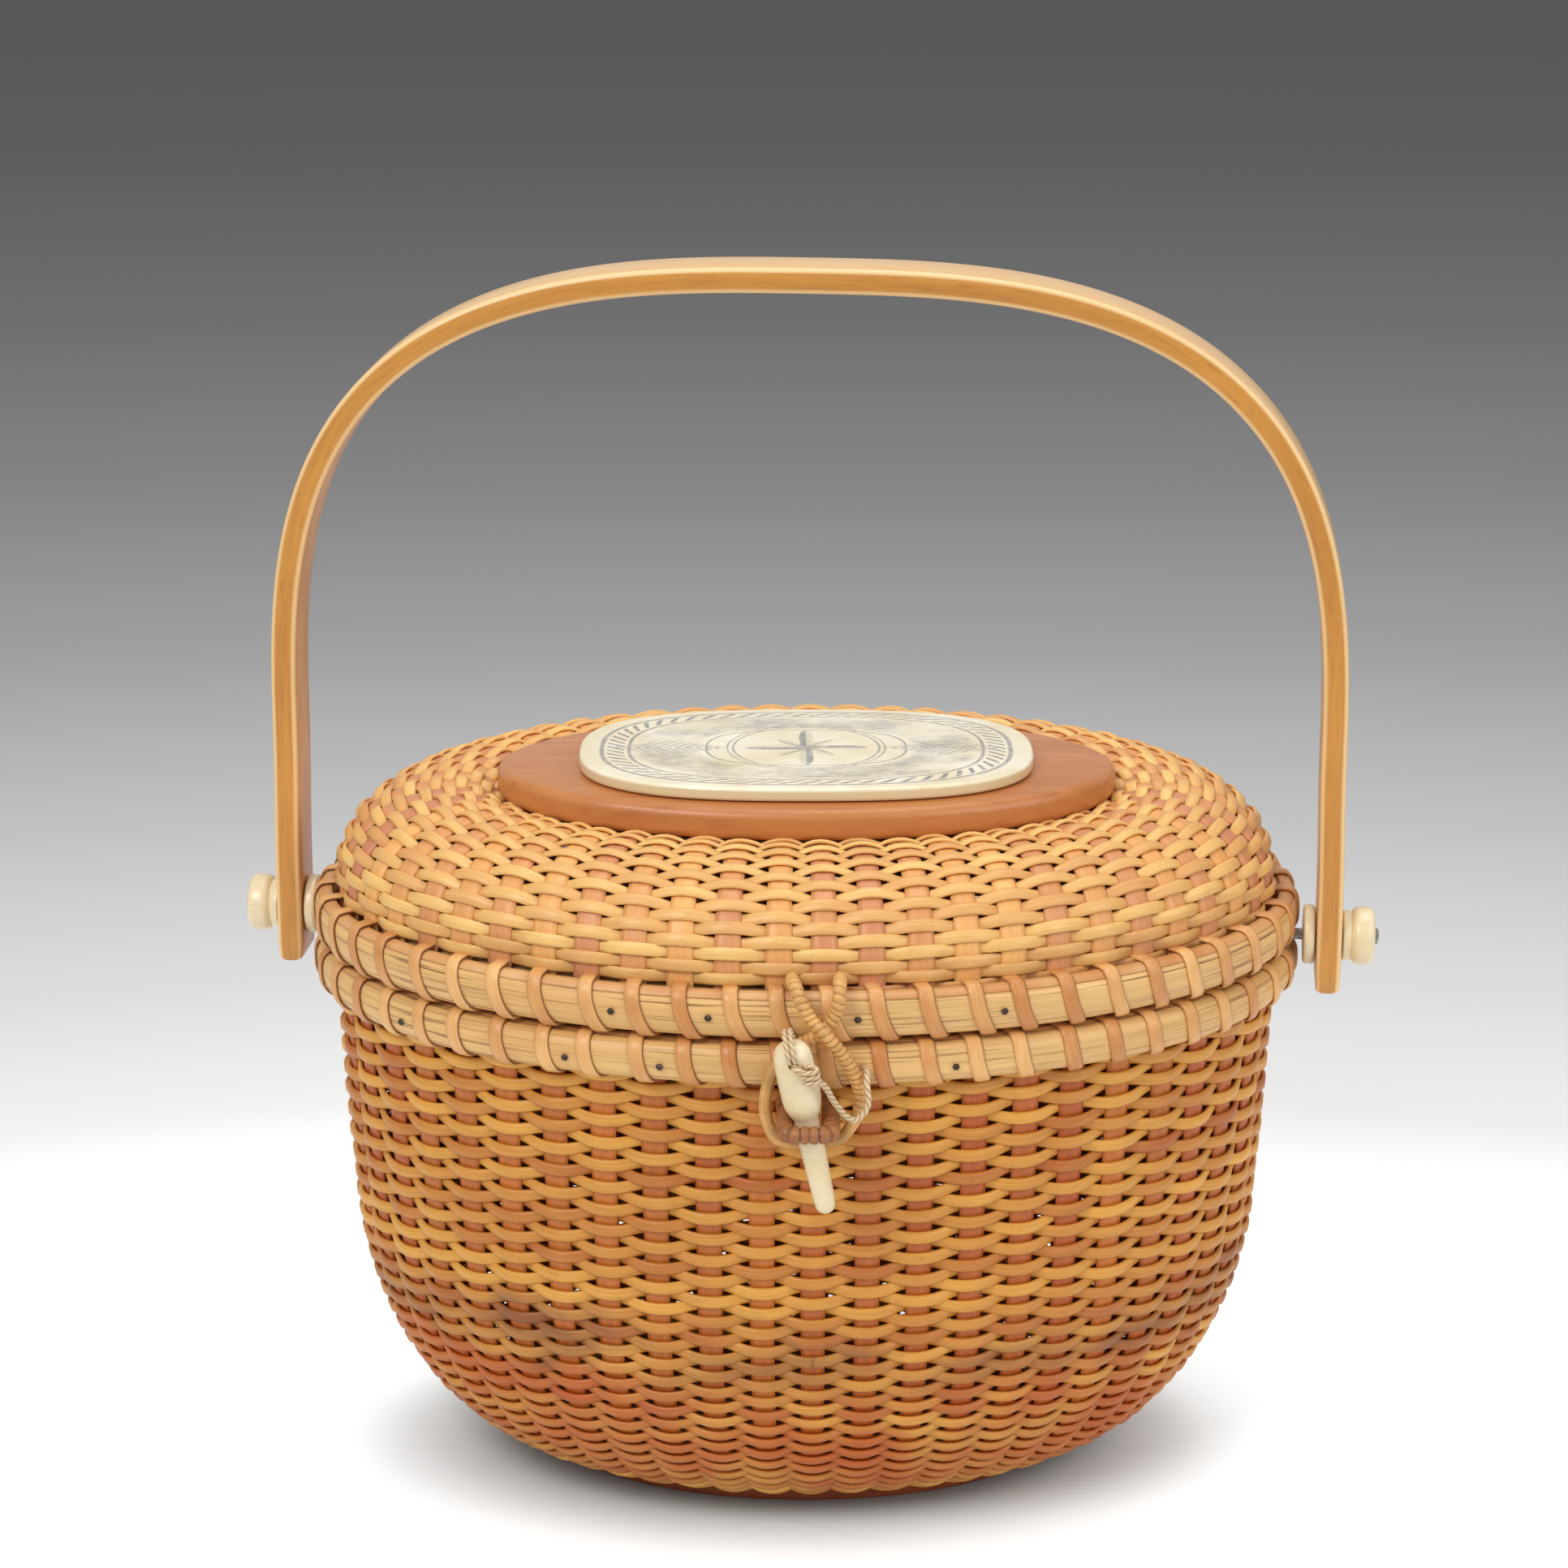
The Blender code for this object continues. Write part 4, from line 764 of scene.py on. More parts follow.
def wander(seed, place, size):
    """Return a small smooth wandering value."""
    return noise.noise(Vector((place, seed * 7.31, 0.5))) * size


class Staves:
    """An odd number of staves round the oval, not quite evenly spaced."""

    def __init__(self, count, offset, seed):
        dice = random.Random(seed)
        self.count = count
        self.places = [turn + offset + dice.uniform(-0.045, 0.045) for turn in range(count)]

    def angle(self, number):
        """Return the oval's angle at a stave, or between two of them where the number has a rest."""
        whole = math.floor(number)
        part = number - whole
        turns, first = divmod(whole, self.count)
        second_turns, second = divmod(whole + 1, self.count)
        low = self.places[first] + turns * self.count
        high = self.places[second] + second_turns * self.count
        return rim_angle(low + (high - low) * part, self.count)


STRAND_SECTION = ((-0.50, -0.18), (-0.32, -0.50), (0.32, -0.50), (0.50, -0.18),
                  (0.50, 0.18), (0.32, 0.50), (-0.32, 0.50), (-0.50, 0.18))


def weave_spiral(bundle, wall, staves, rows, span, limits, gauge, droop, seed):
    """Weave one strand round and round, over one stave and under the next."""
    width, thickness = gauge
    reach = (thickness + sizes().stave_thickness) / 2 + 0.0001
    steps = 6
    first, last = span
    knots = []
    for index in range(round(first * staves.count * steps), round(last * staves.count * steps) + 1):
        number = index / steps
        turn = number / staves.count
        swing = math.cos(math.pi * number)
        shape = math.copysign(abs(swing) ** 0.85, swing)
        loose = 1.0 + wander(seed, number * 0.9, 0.16)
        sag = wander(seed + 1.7, number * 0.35, 0.00045)
        level = wall.level(min(max(rows(turn), limits[0]), limits[1]))
        knots.append((staves.angle(number), level, reach * shape * loose, sag - droop * shape, shape, turn))
    rings, tones = [], []
    for index, (angle, level, out, up, shape, turn) in enumerate(knots):
        before, after = knots[max(index - 1, 0)], knots[min(index + 1, len(knots) - 1)]
        speed = math.hypot(level[0] * math.sin(angle), level[1] * math.cos(angle)) * (after[0] - before[0])
        slope = math.atan2(after[2] - before[2], speed)
        lean, twist = math.cos(slope), math.sin(slope)
        pitch = rows(turn + 0.5) - rows(turn - 0.5)
        wide = min(width, pitch * 1.22) * (0.97 + 0.03 * shape)
        ring = []
        for across, thick in STRAND_SECTION:
            deep = thick * thickness
            ring.append(wall_point(level, angle, out + deep * lean, up + across * wide, -deep * twist))
        rings.append(ring)
        tone = 0.5 + noise.noise(Vector((turn * 0.83, seed, angle * 0.19))) * 0.62
        tone += noise.noise(Vector((angle * 0.98, math.floor(turn) * 3.7, seed))) * 0.20
        tones.append(min(1.0, max(0.0, tone)))
    bundle.add(rings, False, tones, OVAL[-1] / staves.count / steps)


def weave_staves(bundle, wall, staves, widths, lengths, seed):
    """Stand the staves up the wall."""
    s = sizes()
    dice = random.Random(seed)
    section = ((-0.50, -0.50), (0.50, -0.50), (0.50, 0.10), (0.28, 0.50), (-0.28, 0.50), (-0.50, 0.10))
    for place in staves.places:
        angle = rim_angle(place, staves.count)
        tone = dice.random()
        rings, tones = [], []
        for index, length in enumerate(lengths):
            level = wall.level(length)
            share = index / (len(lengths) - 1)
            width = widths[0] + (widths[1] - widths[0]) * share
            ring = []
            for across, thick in section:
                ring.append(wall_point(level, angle, thick * s.stave_thickness, 0.0, across * width))
            rings.append(ring)
            tones.append(min(1.0, max(0.0, tone + wander(seed + place, share * 5, 0.25))))
        bundle.add(rings, False, tones, wall.total / len(lengths))


def spaced(start, end, count, ease=0.0):
    """Return a rule that gives a row's length up the wall, rows closer at the start when eased."""
    def row_length(row):
        share = row / (count - 1)
        return start + (end - start) * (share - ease * math.sin(math.pi * share) / math.pi)

    return row_length


class BASKET_OT_weave_body(bpy.types.Operator):
    """Weave the body's wall over its staves"""
    bl_idname = "basket.weave_body"
    bl_label = "Weave body"

    def execute(self, context):
        s = sizes()
        wall = body_wall()
        staves = Staves(s.body_staves, 0.134, 3)
        gauge = (s.strand_width, s.strand_thickness)
        limits = (0.0018, wall.total)
        top = wall.total - (HOOP_HIGH.z - HOOP_LOW.z) + 0.0024
        rows = spaced(0.0022, top, s.body_rows, 0.16)
        half = s.body_rows // 2
        for name, span in (("lower_body_strands", (-0.5, half)), ("upper_body_strands", (half, s.body_rows))):
            bundle = Bundle()
            weave_spiral(bundle, wall, staves, rows, span, limits, gauge, s.droop, 11)
            settle(bundle.build(name), name, "strands", "basket", ("body_weave",))
        bundle = Bundle()
        count = 44
        lengths = [(wall.total - 0.0004) * index / (count - 1) for index in range(count)]
        weave_staves(bundle, wall, staves, (s.stave_foot, s.stave_width), lengths, 5)
        settle(bundle.build("body_staves"), "body_staves", "staves", "basket", ("body_weave",))
        return {"FINISHED"}


class BASKET_OT_weave_lid(bpy.types.Operator):
    """Weave the lid's dome over its staves"""
    bl_idname = "basket.weave_lid"
    bl_label = "Weave lid"

    def execute(self, context):
        s = sizes()
        wall = lid_wall()
        staves = Staves(s.lid_staves, 0.36, 4)
        start = wall.lengths[2] + 0.0006
        rows = spaced(start, wall.total - 0.0034, s.lid_rows)
        limits = (0.0010, wall.total - 0.0014)
        bundle = Bundle()
        weave_spiral(bundle, wall, staves, rows, (-1.0, s.lid_rows - 0.5), limits,
                     (s.strand_width, s.lid_strand_thickness), -s.lid_arch, 29)
        settle(bundle.build("lid_strands"), "lid_strands", "lid_strands", "lid", ("lid_weave",))
        bundle = Bundle()
        count = 30
        lengths = [0.0004 + (wall.total - 0.0004) * index / (count - 1) for index in range(count)]
        weave_staves(bundle, wall, staves, (s.stave_width, s.stave_foot), lengths, 6)
        settle(bundle.build("lid_staves"), "lid_staves", "lid_staves", "lid", ("lid_weave",))
        return {"FINISHED"}


# Rims

def rim_sweep(name, section, start=0.0, end=56.0, per_pitch=4, waver=0.0, seed=1.0):
    """Sweep a section of (offset, z) round the rim or along part of it."""
    closed = end - start >= 56.0
    count = round((end - start) * per_pitch)
    rings, tones = [], []
    for index in range(count if closed else count + 1):
        place = start + (end - start) * index / count
        angle = rim_angle(place)
        level = RIM_LEVEL
        push = wander(seed, place * 0.4, waver)
        rings.append([wall_point(level, angle, offset + push, z) for offset, z in section])
        tones.append(0.5 + wander(seed + 3, place * 0.2, 0.5))
    bundle = Bundle()
    bundle.add(rings, closed, tones, OVAL[-1] / 56 / per_pitch)
    return bundle.build(name)


def d_section(inner, outer, low, high, round_low, round_high):
    """Return a half round section, flat against the wall and bulging outwards."""
    height = high - low
    section = [(inner, low + 0.0003), (inner + 0.0004, low)]
    for share_out, share_up in ((0.36, 0.0), (0.62, 0.03), (0.78, 0.09), (0.91, 0.20), (0.985, 0.35), (1.0, 0.5),
                                (0.985, 0.65), (0.91, 0.80), (0.78, 0.91), (0.62, 0.97), (0.36, 1.0)):
        out = inner + (outer - inner) * share_out
        up = share_up
        if up < 0.5:
            up *= round_low
        else:
            up = 1 - (1 - up) * round_high
        section.append((out, low + height * up))
    section += [(inner + 0.0004, high), (inner, high - 0.0003)]
    return section


def pin_cutter(reach=0.14):
    """Add a cylinder along the pins, to clear their arches."""
    bpy.ops.object.select_all(action="DESELECT")
    bpy.ops.mesh.primitive_cylinder_add(vertices=32, radius=0.0018, depth=reach * 2, location=PIVOT,
                                        rotation=(0.0, math.pi / 2, PIN_TURN))
    return bpy.context.object


def carve(item, cutter):
    """Cut one piece out of another and drop the cutter."""
    bpy.ops.object.select_all(action="DESELECT")
    item.select_set(True)
    bpy.context.view_layer.objects.active = item
    modifier = item.modifiers.new("carve", "BOOLEAN")
    modifier.object = cutter
    modifier.solver = "EXACT"
    bpy.ops.object.modifier_apply(modifier=modifier.name)
    bpy.data.objects.remove(cutter)


def clipped(section, level, side):
    """Return the part of a closed section below (side -1) or above (side 1) a level."""
    kept = []
    for index, (out, z) in enumerate(section):
        before_out, before = section[index - 1]
        if (before - level) * (z - level) < 0:
            share = (level - before) / (z - before)
            kept.append((before_out + (out - before_out) * share, level))
        if (z - level) * side >= 0:
            kept.append((out, z))
    return kept


class BASKET_OT_rims(bpy.types.Operator):
    """Make the reed hoops, the caps and the filler of both rims"""
    bl_idname = "basket.rims"
    bl_label = "Rims"

    def execute(self, context):
        inner = WALL_T / 2 + 0.0007
        edge = 0.00105
        for part, low, high in (("body", HOOP_LOW.z, SEAM - edge), ("lid", SEAM + edge, LID_HOOP_HIGH.z)):
            bulge = d_section(inner, HOOP_OUT, low, high + (0.0 if part == "body" else 0.0015), 1.0, 1.0)
            section = clipped(bulge, high, -1) if part == "lid" else bulge
            item = rim_sweep(part + "_reed_hoop", section, seed=2.0 if part == "lid" else 5.0, waver=0.0003)
            if part == "lid":
                carve(item, pin_cutter())
            settle(item, part + "_reed_hoop", "reed", {"body": "basket", "lid": "lid"}[part],
                   (part + "_outer_hoop",))
            section = [(-o, z) for o, z in d_section(inner, HOOP_IN, low, high, 1.0, 1.0)]
            item = rim_sweep(part + "_inside_hoop", section, seed=9.0)
            if part == "lid":
                carve(item, pin_cutter())
            settle(item, part + "_inside_hoop", "reed", {"body": "basket", "lid": "lid"}[part],
                   (part + "_inner_hoop",))
        low = LID_HOOP_HIGH.z + 0.0001
        section = clipped(bulge, low, 1)
        item = rim_sweep("lid_filler_strip", section, seed=12.0)
        settle(item, "lid_filler_strip", "filler", "lid", ("lid_rim_filler",))
        low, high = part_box("body_rim_cap")
        item = rim_sweep("body_cane_cap", cap_section(low.z, high.z), seed=14.0)
        settle(item, "body_cane_cap", "cane", "basket", ("body_rim_cap",))
        front, side = 13.0, 0.26
        for name, node, start, end in (
                ("lid_cane_cap_back", "lid_rim_cap_back", front + side, front + 28 - side),
                ("lid_cane_cap_front", "lid_rim_cap_front", front + 28 + side, front + 56 - side)):
            low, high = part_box(node)
            item = rim_sweep(name, cap_section(low.z, high.z), start, end, seed=15.0)
            settle(item, name, "cane", "lid", (node,))
        return {"FINISHED"}


def cap_section(low, high):
    """Return the section of the strip that covers the weave's edge between both hoops."""
    inner = WALL_T / 2 + 0.0007
    return ((-inner, low), (inner, low), (inner, high), (-inner, high))


def paint(node, finish):
    """Give a CAD node that stays its finish."""
    item = frame["nodes"][node]
    item.data.materials.clear()
    item.data.materials.append(finish_of(finish))


def lash_points(top, bottom, lean):
    """Return one turn of the lashing: (place, offset, z, turn of its normal)."""
    half = sizes().band_thickness / 2
    out, inside = HOOP_OUT + half, -(LASH_IN - 0.0003)
    points = [(0.5 - lean - 0.006, out - 0.0034, top, 85), (0.5 - lean - 0.003, out - 0.0024, top - 0.0001, 70)]
    face = 10
    for step in range(face + 1):
        share = step / face
        swing = 0.28 * share + 0.72 * share ** 2.4
        z = top - 0.0005 + (bottom + 0.0005 - top + 0.0005) * share
        lean_in = abs(2 * share - 1)
        points.append((0.5 - lean + 2 * lean * swing, out - 0.0015 * lean_in ** 3.2, z,
                       math.copysign(43 * lean_in ** 2.2, 0.5 - share)))
    for place, offset, z, angle in (
            (0.03, out - 0.0024, bottom + 0.0001, -70), (0.06, out - 0.0034, bottom, -90),
            (0.12, out - 0.0046, bottom, -90), (0.18, 0.0, bottom, -90),
            (0.22, inside + 0.0015, bottom, -90), (0.24, inside + 0.0004, bottom + 0.0004, -135)):
        points.append((0.5 + lean + place, offset, z, angle))
    start, end = 0.5 + lean + 0.25, 1.5 - lean - 0.10
    for step in range(5):
        share = step / 4
        points.append((start + (end - start) * share, inside, bottom + 0.0013 + (top - bottom - 0.0026) * share, -180))
    for place, offset, z, angle in (
            (0.09, inside + 0.0004, top - 0.0004, -225), (0.08, inside + 0.0015, top, -270),
            (0.05, 0.0, top, -270), (0.02, out - 0.0046, top, -270)):
        points.append((1.5 - lean - place, offset, z, angle))
    return points


class BASKET_OT_lashing(bpy.types.Operator):
    """Bind both rims with a cane strip"""
    bl_idname = "basket.lashing"
    bl_label = "Lashing"

    def execute(self, context):
        s = sizes()
        half_t = s.band_thickness / 2
        section = ((-0.50, -0.50), (0.50, -0.50), (0.50, 0.05), (0.30, 0.46), (-0.30, 0.46), (-0.50, 0.05))
        for part, body, top, bottom, lean in (
                ("body", "basket", SEAM - 0.00045, SEAM - BAND_ENDS["body"], 0.095),
                ("lid", "lid", SEAM + BAND_ENDS["lid"], SEAM + 0.00045, 0.15)):
            dice = random.Random(17 + len(part))
            turn_points = lash_points(top, bottom, lean)
            shifts = [dice.uniform(-0.075, 0.075) for _ in range(57)]
            shifts[56] = shifts[0]
            path, tones = [], []
            for turn in range(56):
                tone = dice.random()
                for place, offset, z, bend in turn_points:
                    share = min(1.0, max(0.0, (place - 0.7) / 0.55))
                    shift = shifts[turn] + (shifts[turn + 1] - shifts[turn]) * share
                    path.append((turn + place + shift, offset, z, bend))
                    tones.append(tone)
            level = RIM_LEVEL
            centres = [Vector(wall_point(level, rim_angle(p), o, z)) for p, o, z, _ in path]
            rings = []
            for index, (place, offset, z, bend) in enumerate(path):
                along = centres[(index + 1) % len(path)] - centres[index - 1]
                along.normalize()
                angle = rim_angle(place)
                radial = Vector((RIM_B * math.cos(angle), RIM_A * math.sin(angle), 0.0)).normalized()
                facing = radial * math.cos(math.radians(bend)) + Vector((0, 0, math.sin(math.radians(bend))))
                across = along.cross(facing).normalized()
                facing = across.cross(along).normalized()
                ring = []
                for side, thick in section:
                    ring.append(tuple(centres[index] + across * side * s.band_width
                                      + facing * thick * s.band_thickness))
                rings.append(ring)
            bundle = Bundle()
            bundle.add(rings, True, tones, 0.0012)
            name = part + "_cane_lashing"
            settle(bundle.build(name), name, "lashing", body, (part + "_lashing",))
        return {"FINISHED"}


# Boards

def oval_board(name, length, width, low, high, curve, rounding, finish, body, node):
    """Extrude an oval outline, fuller where the curve is above 2, and round its edges."""
    steps = 192
    outline = []
    for step in range(steps):
        angle = math.tau * (step + 0.5) / steps
        cosine, sine = math.cos(angle), math.sin(angle)
        outline.append((math.copysign(abs(cosine) ** (2 / curve), cosine) * length / 2,
                        math.copysign(abs(sine) ** (2 / curve), sine) * width / 2, low))
    mesh = bpy.data.meshes.new(name)
    mesh.from_pydata(outline, [], [tuple(range(steps))])
    item = bpy.data.objects.new(name, mesh)
    bpy.context.collection.objects.link(item)
    bpy.ops.object.select_all(action="DESELECT")
    item.select_set(True)
    bpy.context.view_layer.objects.active = item
    bpy.ops.object.mode_set(mode="EDIT")
    bpy.ops.mesh.select_all(action="SELECT")
    bpy.ops.mesh.extrude_region_move(TRANSFORM_OT_translate={"value": (0.0, 0.0, high - low)})
    bpy.ops.object.mode_set(mode="OBJECT")
    face_out(item)
    bevel = item.modifiers.new("rounding", "BEVEL")
    bevel.width = rounding
    bevel.segments = 6
    bevel.limit_method = "ANGLE"
    bevel.angle_limit = math.radians(60.0)
    bpy.ops.object.modifier_apply(modifier=bevel.name)
    smooth(item, 40.0)
    return settle(item, name, finish, body, (node,))


class BASKET_OT_boards(bpy.types.Operator):
    """Shape the base board, the lid's board and the plate on it"""
    bl_idname = "basket.boards"
    bl_label = "Boards"

    def execute(self, context):
        edge = sizes().edge_round
        for name, node, body, slot, finish, rounding, curve, sink in (
                ("cherry_base", "base_board", "basket", "cherry", "base", edge, 2.0, 0.0),
                ("cherry_lid_board", "lid_board", "lid", "cherry", "board", edge * 2.2, 2.0, 0.0009),
                ("engraved_plaque", "plaque", "lid", "ivory", "plaque", edge * 0.8, 2.65, 0.0)):
            low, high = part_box(node)
            oval_board(name, high.x - low.x, high.y - low.y, low.z - sink, high.z, curve, rounding,
                       finish, body, node)
        return {"FINISHED"}


# Handle and pivots

def pin_frame(side):
    """Return the placing of a pivot's pieces: their X points out along the pin."""
    angle = PIN_TURN if side == "right" else PIN_TURN + math.pi
    return Matrix.Translation(PIVOT) @ Matrix.Rotation(angle, 4, "Z")


def pin_reach(node, side):
    """Return how far along the pin line a node starts and ends."""
    inverse = pin_frame(side).inverted()
    found = [(inverse @ v.co).x for v in frame["nodes"][node].data.vertices]
    return min(found), max(found)


def turn_on_pin(name, side, profile, finish, node, body="basket", steps=64):
    """Turn a piece on the pin line from (x, radius) steps: a disc, extruded and resized."""
    bpy.ops.object.select_all(action="DESELECT")
    bpy.ops.mesh.primitive_circle_add(vertices=steps, radius=profile[0][1], fill_type="NGON",
                                      rotation=(0.0, math.pi / 2, 0.0), location=(profile[0][0], 0.0, 0.0))
    item = bpy.context.object
    bpy.ops.object.transform_apply(location=True, rotation=True, scale=True)
    bpy.ops.object.mode_set(mode="EDIT")
    bpy.ops.mesh.select_all(action="SELECT")
    x, radius = profile[0]
    for new_x, new_radius in profile[1:]:
        bpy.ops.mesh.extrude_region_move(TRANSFORM_OT_translate={"value": (new_x - x, 0.0, 0.0)})
        share = new_radius / radius
        bpy.ops.transform.resize(value=(1.0, share, share), center_override=(new_x, 0.0, 0.0))
        x, radius = new_x, new_radius
    bpy.ops.object.mode_set(mode="OBJECT")
    item.data.transform(pin_frame(side))
    face_out(item)
    smooth(item, 32.0)
    return settle(item, name, finish, body, (node,))


def rounded(start, end, radius, edge, steps=4):
    """Return a rounded disc's profile, from one face to the other."""
    profile = [(start, radius - edge)]
    for step in range(1, steps + 1):
        angle = math.pi / 2 * step / steps
        profile.append((start + edge * (1 - math.cos(angle)), radius - edge + edge * math.sin(angle)))
    for step in range(steps + 1):
        angle = math.pi / 2 * step / steps
        profile.append((end - edge * (1 - math.sin(angle)), radius - edge + edge * math.cos(angle)))
    return profile


class BASKET_OT_pivots(bpy.types.Operator):
    """Turn the washers and knobs and finish the ears, pins and roves"""
    bl_idname = "basket.pivots"
    bl_label = "Pivots"

    def execute(self, context):
        for side in ("left", "right"):
            start, end = pin_reach("washer_" + side, side)
            turn_on_pin("ivory_washer_" + side, side, rounded(start, end, 0.00725, 0.0009),
                        "ivory", "washer_" + side)
            start, end = pin_reach("knob_" + side, side)
            neck = start + 0.0021
            profile = [(start, 0.0058), (start + 0.0003, 0.0062), (neck - 0.0002, 0.0060)]
            profile += [(x, r) for x, r in rounded(neck, end, 0.0071, 0.0019, 5)][1:]
            profile += [(end + 0.00001, 0.0030), (end - 0.0004, 0.0025)]
            turn_on_pin("ivory_knob_" + side, side, profile, "ivory", "knob_" + side)
            paint("pin_" + side, "pin")
            paint("rove_" + side, "pin")
            paint("ear_" + side, "ear")
        return {"FINISHED"}


class BASKET_OT_handle(bpy.types.Operator):
    """Bend the handle's strip over its arch"""
    bl_idname = "basket.handle"
    bl_label = "Handle"

    def execute(self, context):
        s = sizes()
        low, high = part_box("handle")
        inverse = pin_frame("right").inverted()
        outer = max((inverse @ v.co).x for v in frame["nodes"]["handle"].data.vertices)
        half = outer - s.handle_thickness / 2
        foot = low.z - PIVOT.z
        spring, draw_in, straight = 0.046, 0.0006, 0.010
        rise = high.z - s.handle_thickness / 2 - PIVOT.z - spring
        line = []
        for step in range(7):
            line.append((half, foot + (straight - foot) * step / 6))
        for step in range(1, 12):
            share = step / 12
            line.append((half - draw_in * share * share * (3 - 2 * share), straight + (spring - straight) * share))
        legs = [(-x, z) for x, z in reversed(line)]
        for step in range(121):
            angle = math.pi * step / 120
            cosine, sine = math.cos(angle), math.sin(angle)
            x = math.copysign(abs(cosine) ** (2 / 2.92), cosine) * (half - draw_in)
            line.append((x, spring + rise * abs(sine) ** (2 / 2.92)))
        line += legs
        line = even_line(line, 0.0022)
        bundle = Bundle()
        rings = []
        soft = 0.0013
        corner = []
        for cx, cy in ((1, -1), (1, 1), (-1, 1), (-1, -1)):
            start = {(1, -1): -90, (1, 1): 0, (-1, 1): 90, (-1, -1): 180}[(cx, cy)]
            for step in range(4):
                angle = math.radians(start + step * 30)
                corner.append((cx, cy, math.cos(angle), math.sin(angle)))
        last = len(line) - 1
        for index, (x, z) in enumerate(line):
            before, after = line[max(index - 1, 0)], line[min(index + 1, last)]
            along = Vector((after[0] - before[0], 0.0, after[1] - before[1])).normalized()
            out = Vector((along.z, 0.0, -along.x))
            trim = {0: 0.0008, 1: 0.0002}.get(min(index, last - index), 0.0)
            half_t = s.handle_thickness / 2 - soft - trim
            half_w = s.handle_width / 2 - soft - trim
            middle = Vector((x, 0.0, z))
            if index in (1, last - 1):
                near = line[0] if index == 1 else line[last]
                middle = Vector((near[0], 0.0, near[1] + 0.0007))
            rings.append([tuple(middle + out * (cx * half_t + u * soft) + Vector((0.0, cy * half_w + v * soft, 0.0)))
                          for cx, cy, u, v in corner])
        bundle.add(rings, False, [0.5] * len(rings), 0.0022)
        item = bundle.build("bentwood_handle")
        item.data.transform(pin_frame("right"))
        # painted highlight mask: 0.75 on the rounded edges and 0.45 on the outer face, which the bentwood finish mixes
        # towards pale
        edge = item.data.attributes.new("edge", "FLOAT", "POINT")
        values = []
        for ring in range(len(rings)):
            for cx, cy, u, v in corner:
                values.append(0.75 if abs(u) > 0.3 and abs(v) > 0.3 else 0.45 if cx > 0 and u > 0.3 else 0.0)
        edge.data.foreach_set("value", values)
        carve(item, pin_cutter(0.2))
        smooth(item, 40.0)
        settle(item, "bentwood_handle", "bentwood", "handle", ("handle",))
        return {"FINISHED"}


def even_line(points, step):
    """Return points at even lengths along a line of (x, z) points."""
    lengths = [0.0]
    for a, b in zip(points, points[1:]):
        lengths.append(lengths[-1] + math.dist(a, b))
    count = round(lengths[-1] / step)
    found = []
    for index in range(count + 1):
        target = lengths[-1] * index / count
        high = min(max(bisect.bisect_right(lengths, target), 1), len(lengths) - 1)
        part = (target - lengths[high - 1]) / (lengths[high] - lengths[high - 1])
        found.append(tuple(p + (q - p) * part for p, q in zip(points[high - 1], points[high])))
    return found


# Clasp

def smooth_line(points, step_length):
    """Return evenly stepped points on a smooth curve through the given ones."""
    points = [Vector(point) for point in points]
    knots = [points[0] * 2 - points[1]] + points + [points[-1] * 2 - points[-2]]
    fine = []
    for index in range(1, len(knots) - 2):
        p0, p1, p2, p3 = knots[index - 1:index + 3]
        for part in range(24):
            t = part / 24
            fine.append((p1 * 2 + (p2 - p0) * t + (p0 * 2 - p1 * 5 + p2 * 4 - p3) * t * t
                         + (p1 * 3 - p0 - p2 * 3 + p3) * t * t * t) / 2)
    fine.append(points[-1])
    return [Vector(point) for point in even_line([tuple(p) for p in fine], step_length)]


def tube(bundle, line, radius_at, sides, step, groove=None):
    """Sweep a round tube whose radius may change along and round it, with a painted shade value where it dips below a
    groove.
    """
    count = len(line)
    rings, tones = [], []
    side = None
    for index, point in enumerate(line):
        along = (line[min(index + 1, count - 1)] - line[max(index - 1, 0)]).normalized()
        if side is None:
            side = along.cross(Vector((0.31, 0.2, 0.93))).normalized()
        side = (side - along * side.dot(along)).normalized()
        other = along.cross(side)
        ring, groove_shade = [], []
        for number in range(sides):
            angle = math.tau * number / sides
            radius = radius_at(index / (count - 1), index * step, angle)
            ring.append(tuple(point + (side * math.cos(angle) + other * math.sin(angle)) * radius))
            # painted shade value: how far this point dips below the groove
            groove_shade.append(min(1.0, max(0.0, (groove[1] - radius) / (groove[1] - groove[0]))) if groove else 0.5)
        rings.append(ring)
        tones.append(groove_shade)
    bundle.add(rings, False, tones, step)


FACE_Y = -0.172 / 2


def clasp_point(x, out, up):
    """Return a point by its distance across, out from the rim's face and up from the seam."""
    return Vector((x, FACE_Y - out, SEAM + up))


LOOP_SHARES = (
    (-0.35, None, 1.16), (-0.33, -1.70, 1.17), (-0.27, 0.17, 1.16), (-0.17, 1.45, 0.97),
    (0.05, 2.00, 0.64), (0.38, 2.85, 0.37), (0.78, 2.10, -0.05), (1.08, 1.05, -0.36),
    (1.13, 1.00, -0.58), (0.98, 1.00, -0.79), (0.66, 1.00, -0.96), (0.05, 1.00, -1.00),
    (-0.63, 1.00, -0.97), (-0.89, 1.00, -0.74), (-0.91, 1.00, -0.49), (-0.74, 1.00, -0.22),
    (-0.33, 1.00, 0.03), (0.06, 1.00, 0.20), (0.40, 1.00, 0.42), (0.59, 1.00, 0.70),
    (0.66, 1.22, 0.96), (0.68, 0.17, 1.16), (0.69, -1.70, 1.17), (0.69, None, 1.16),
)


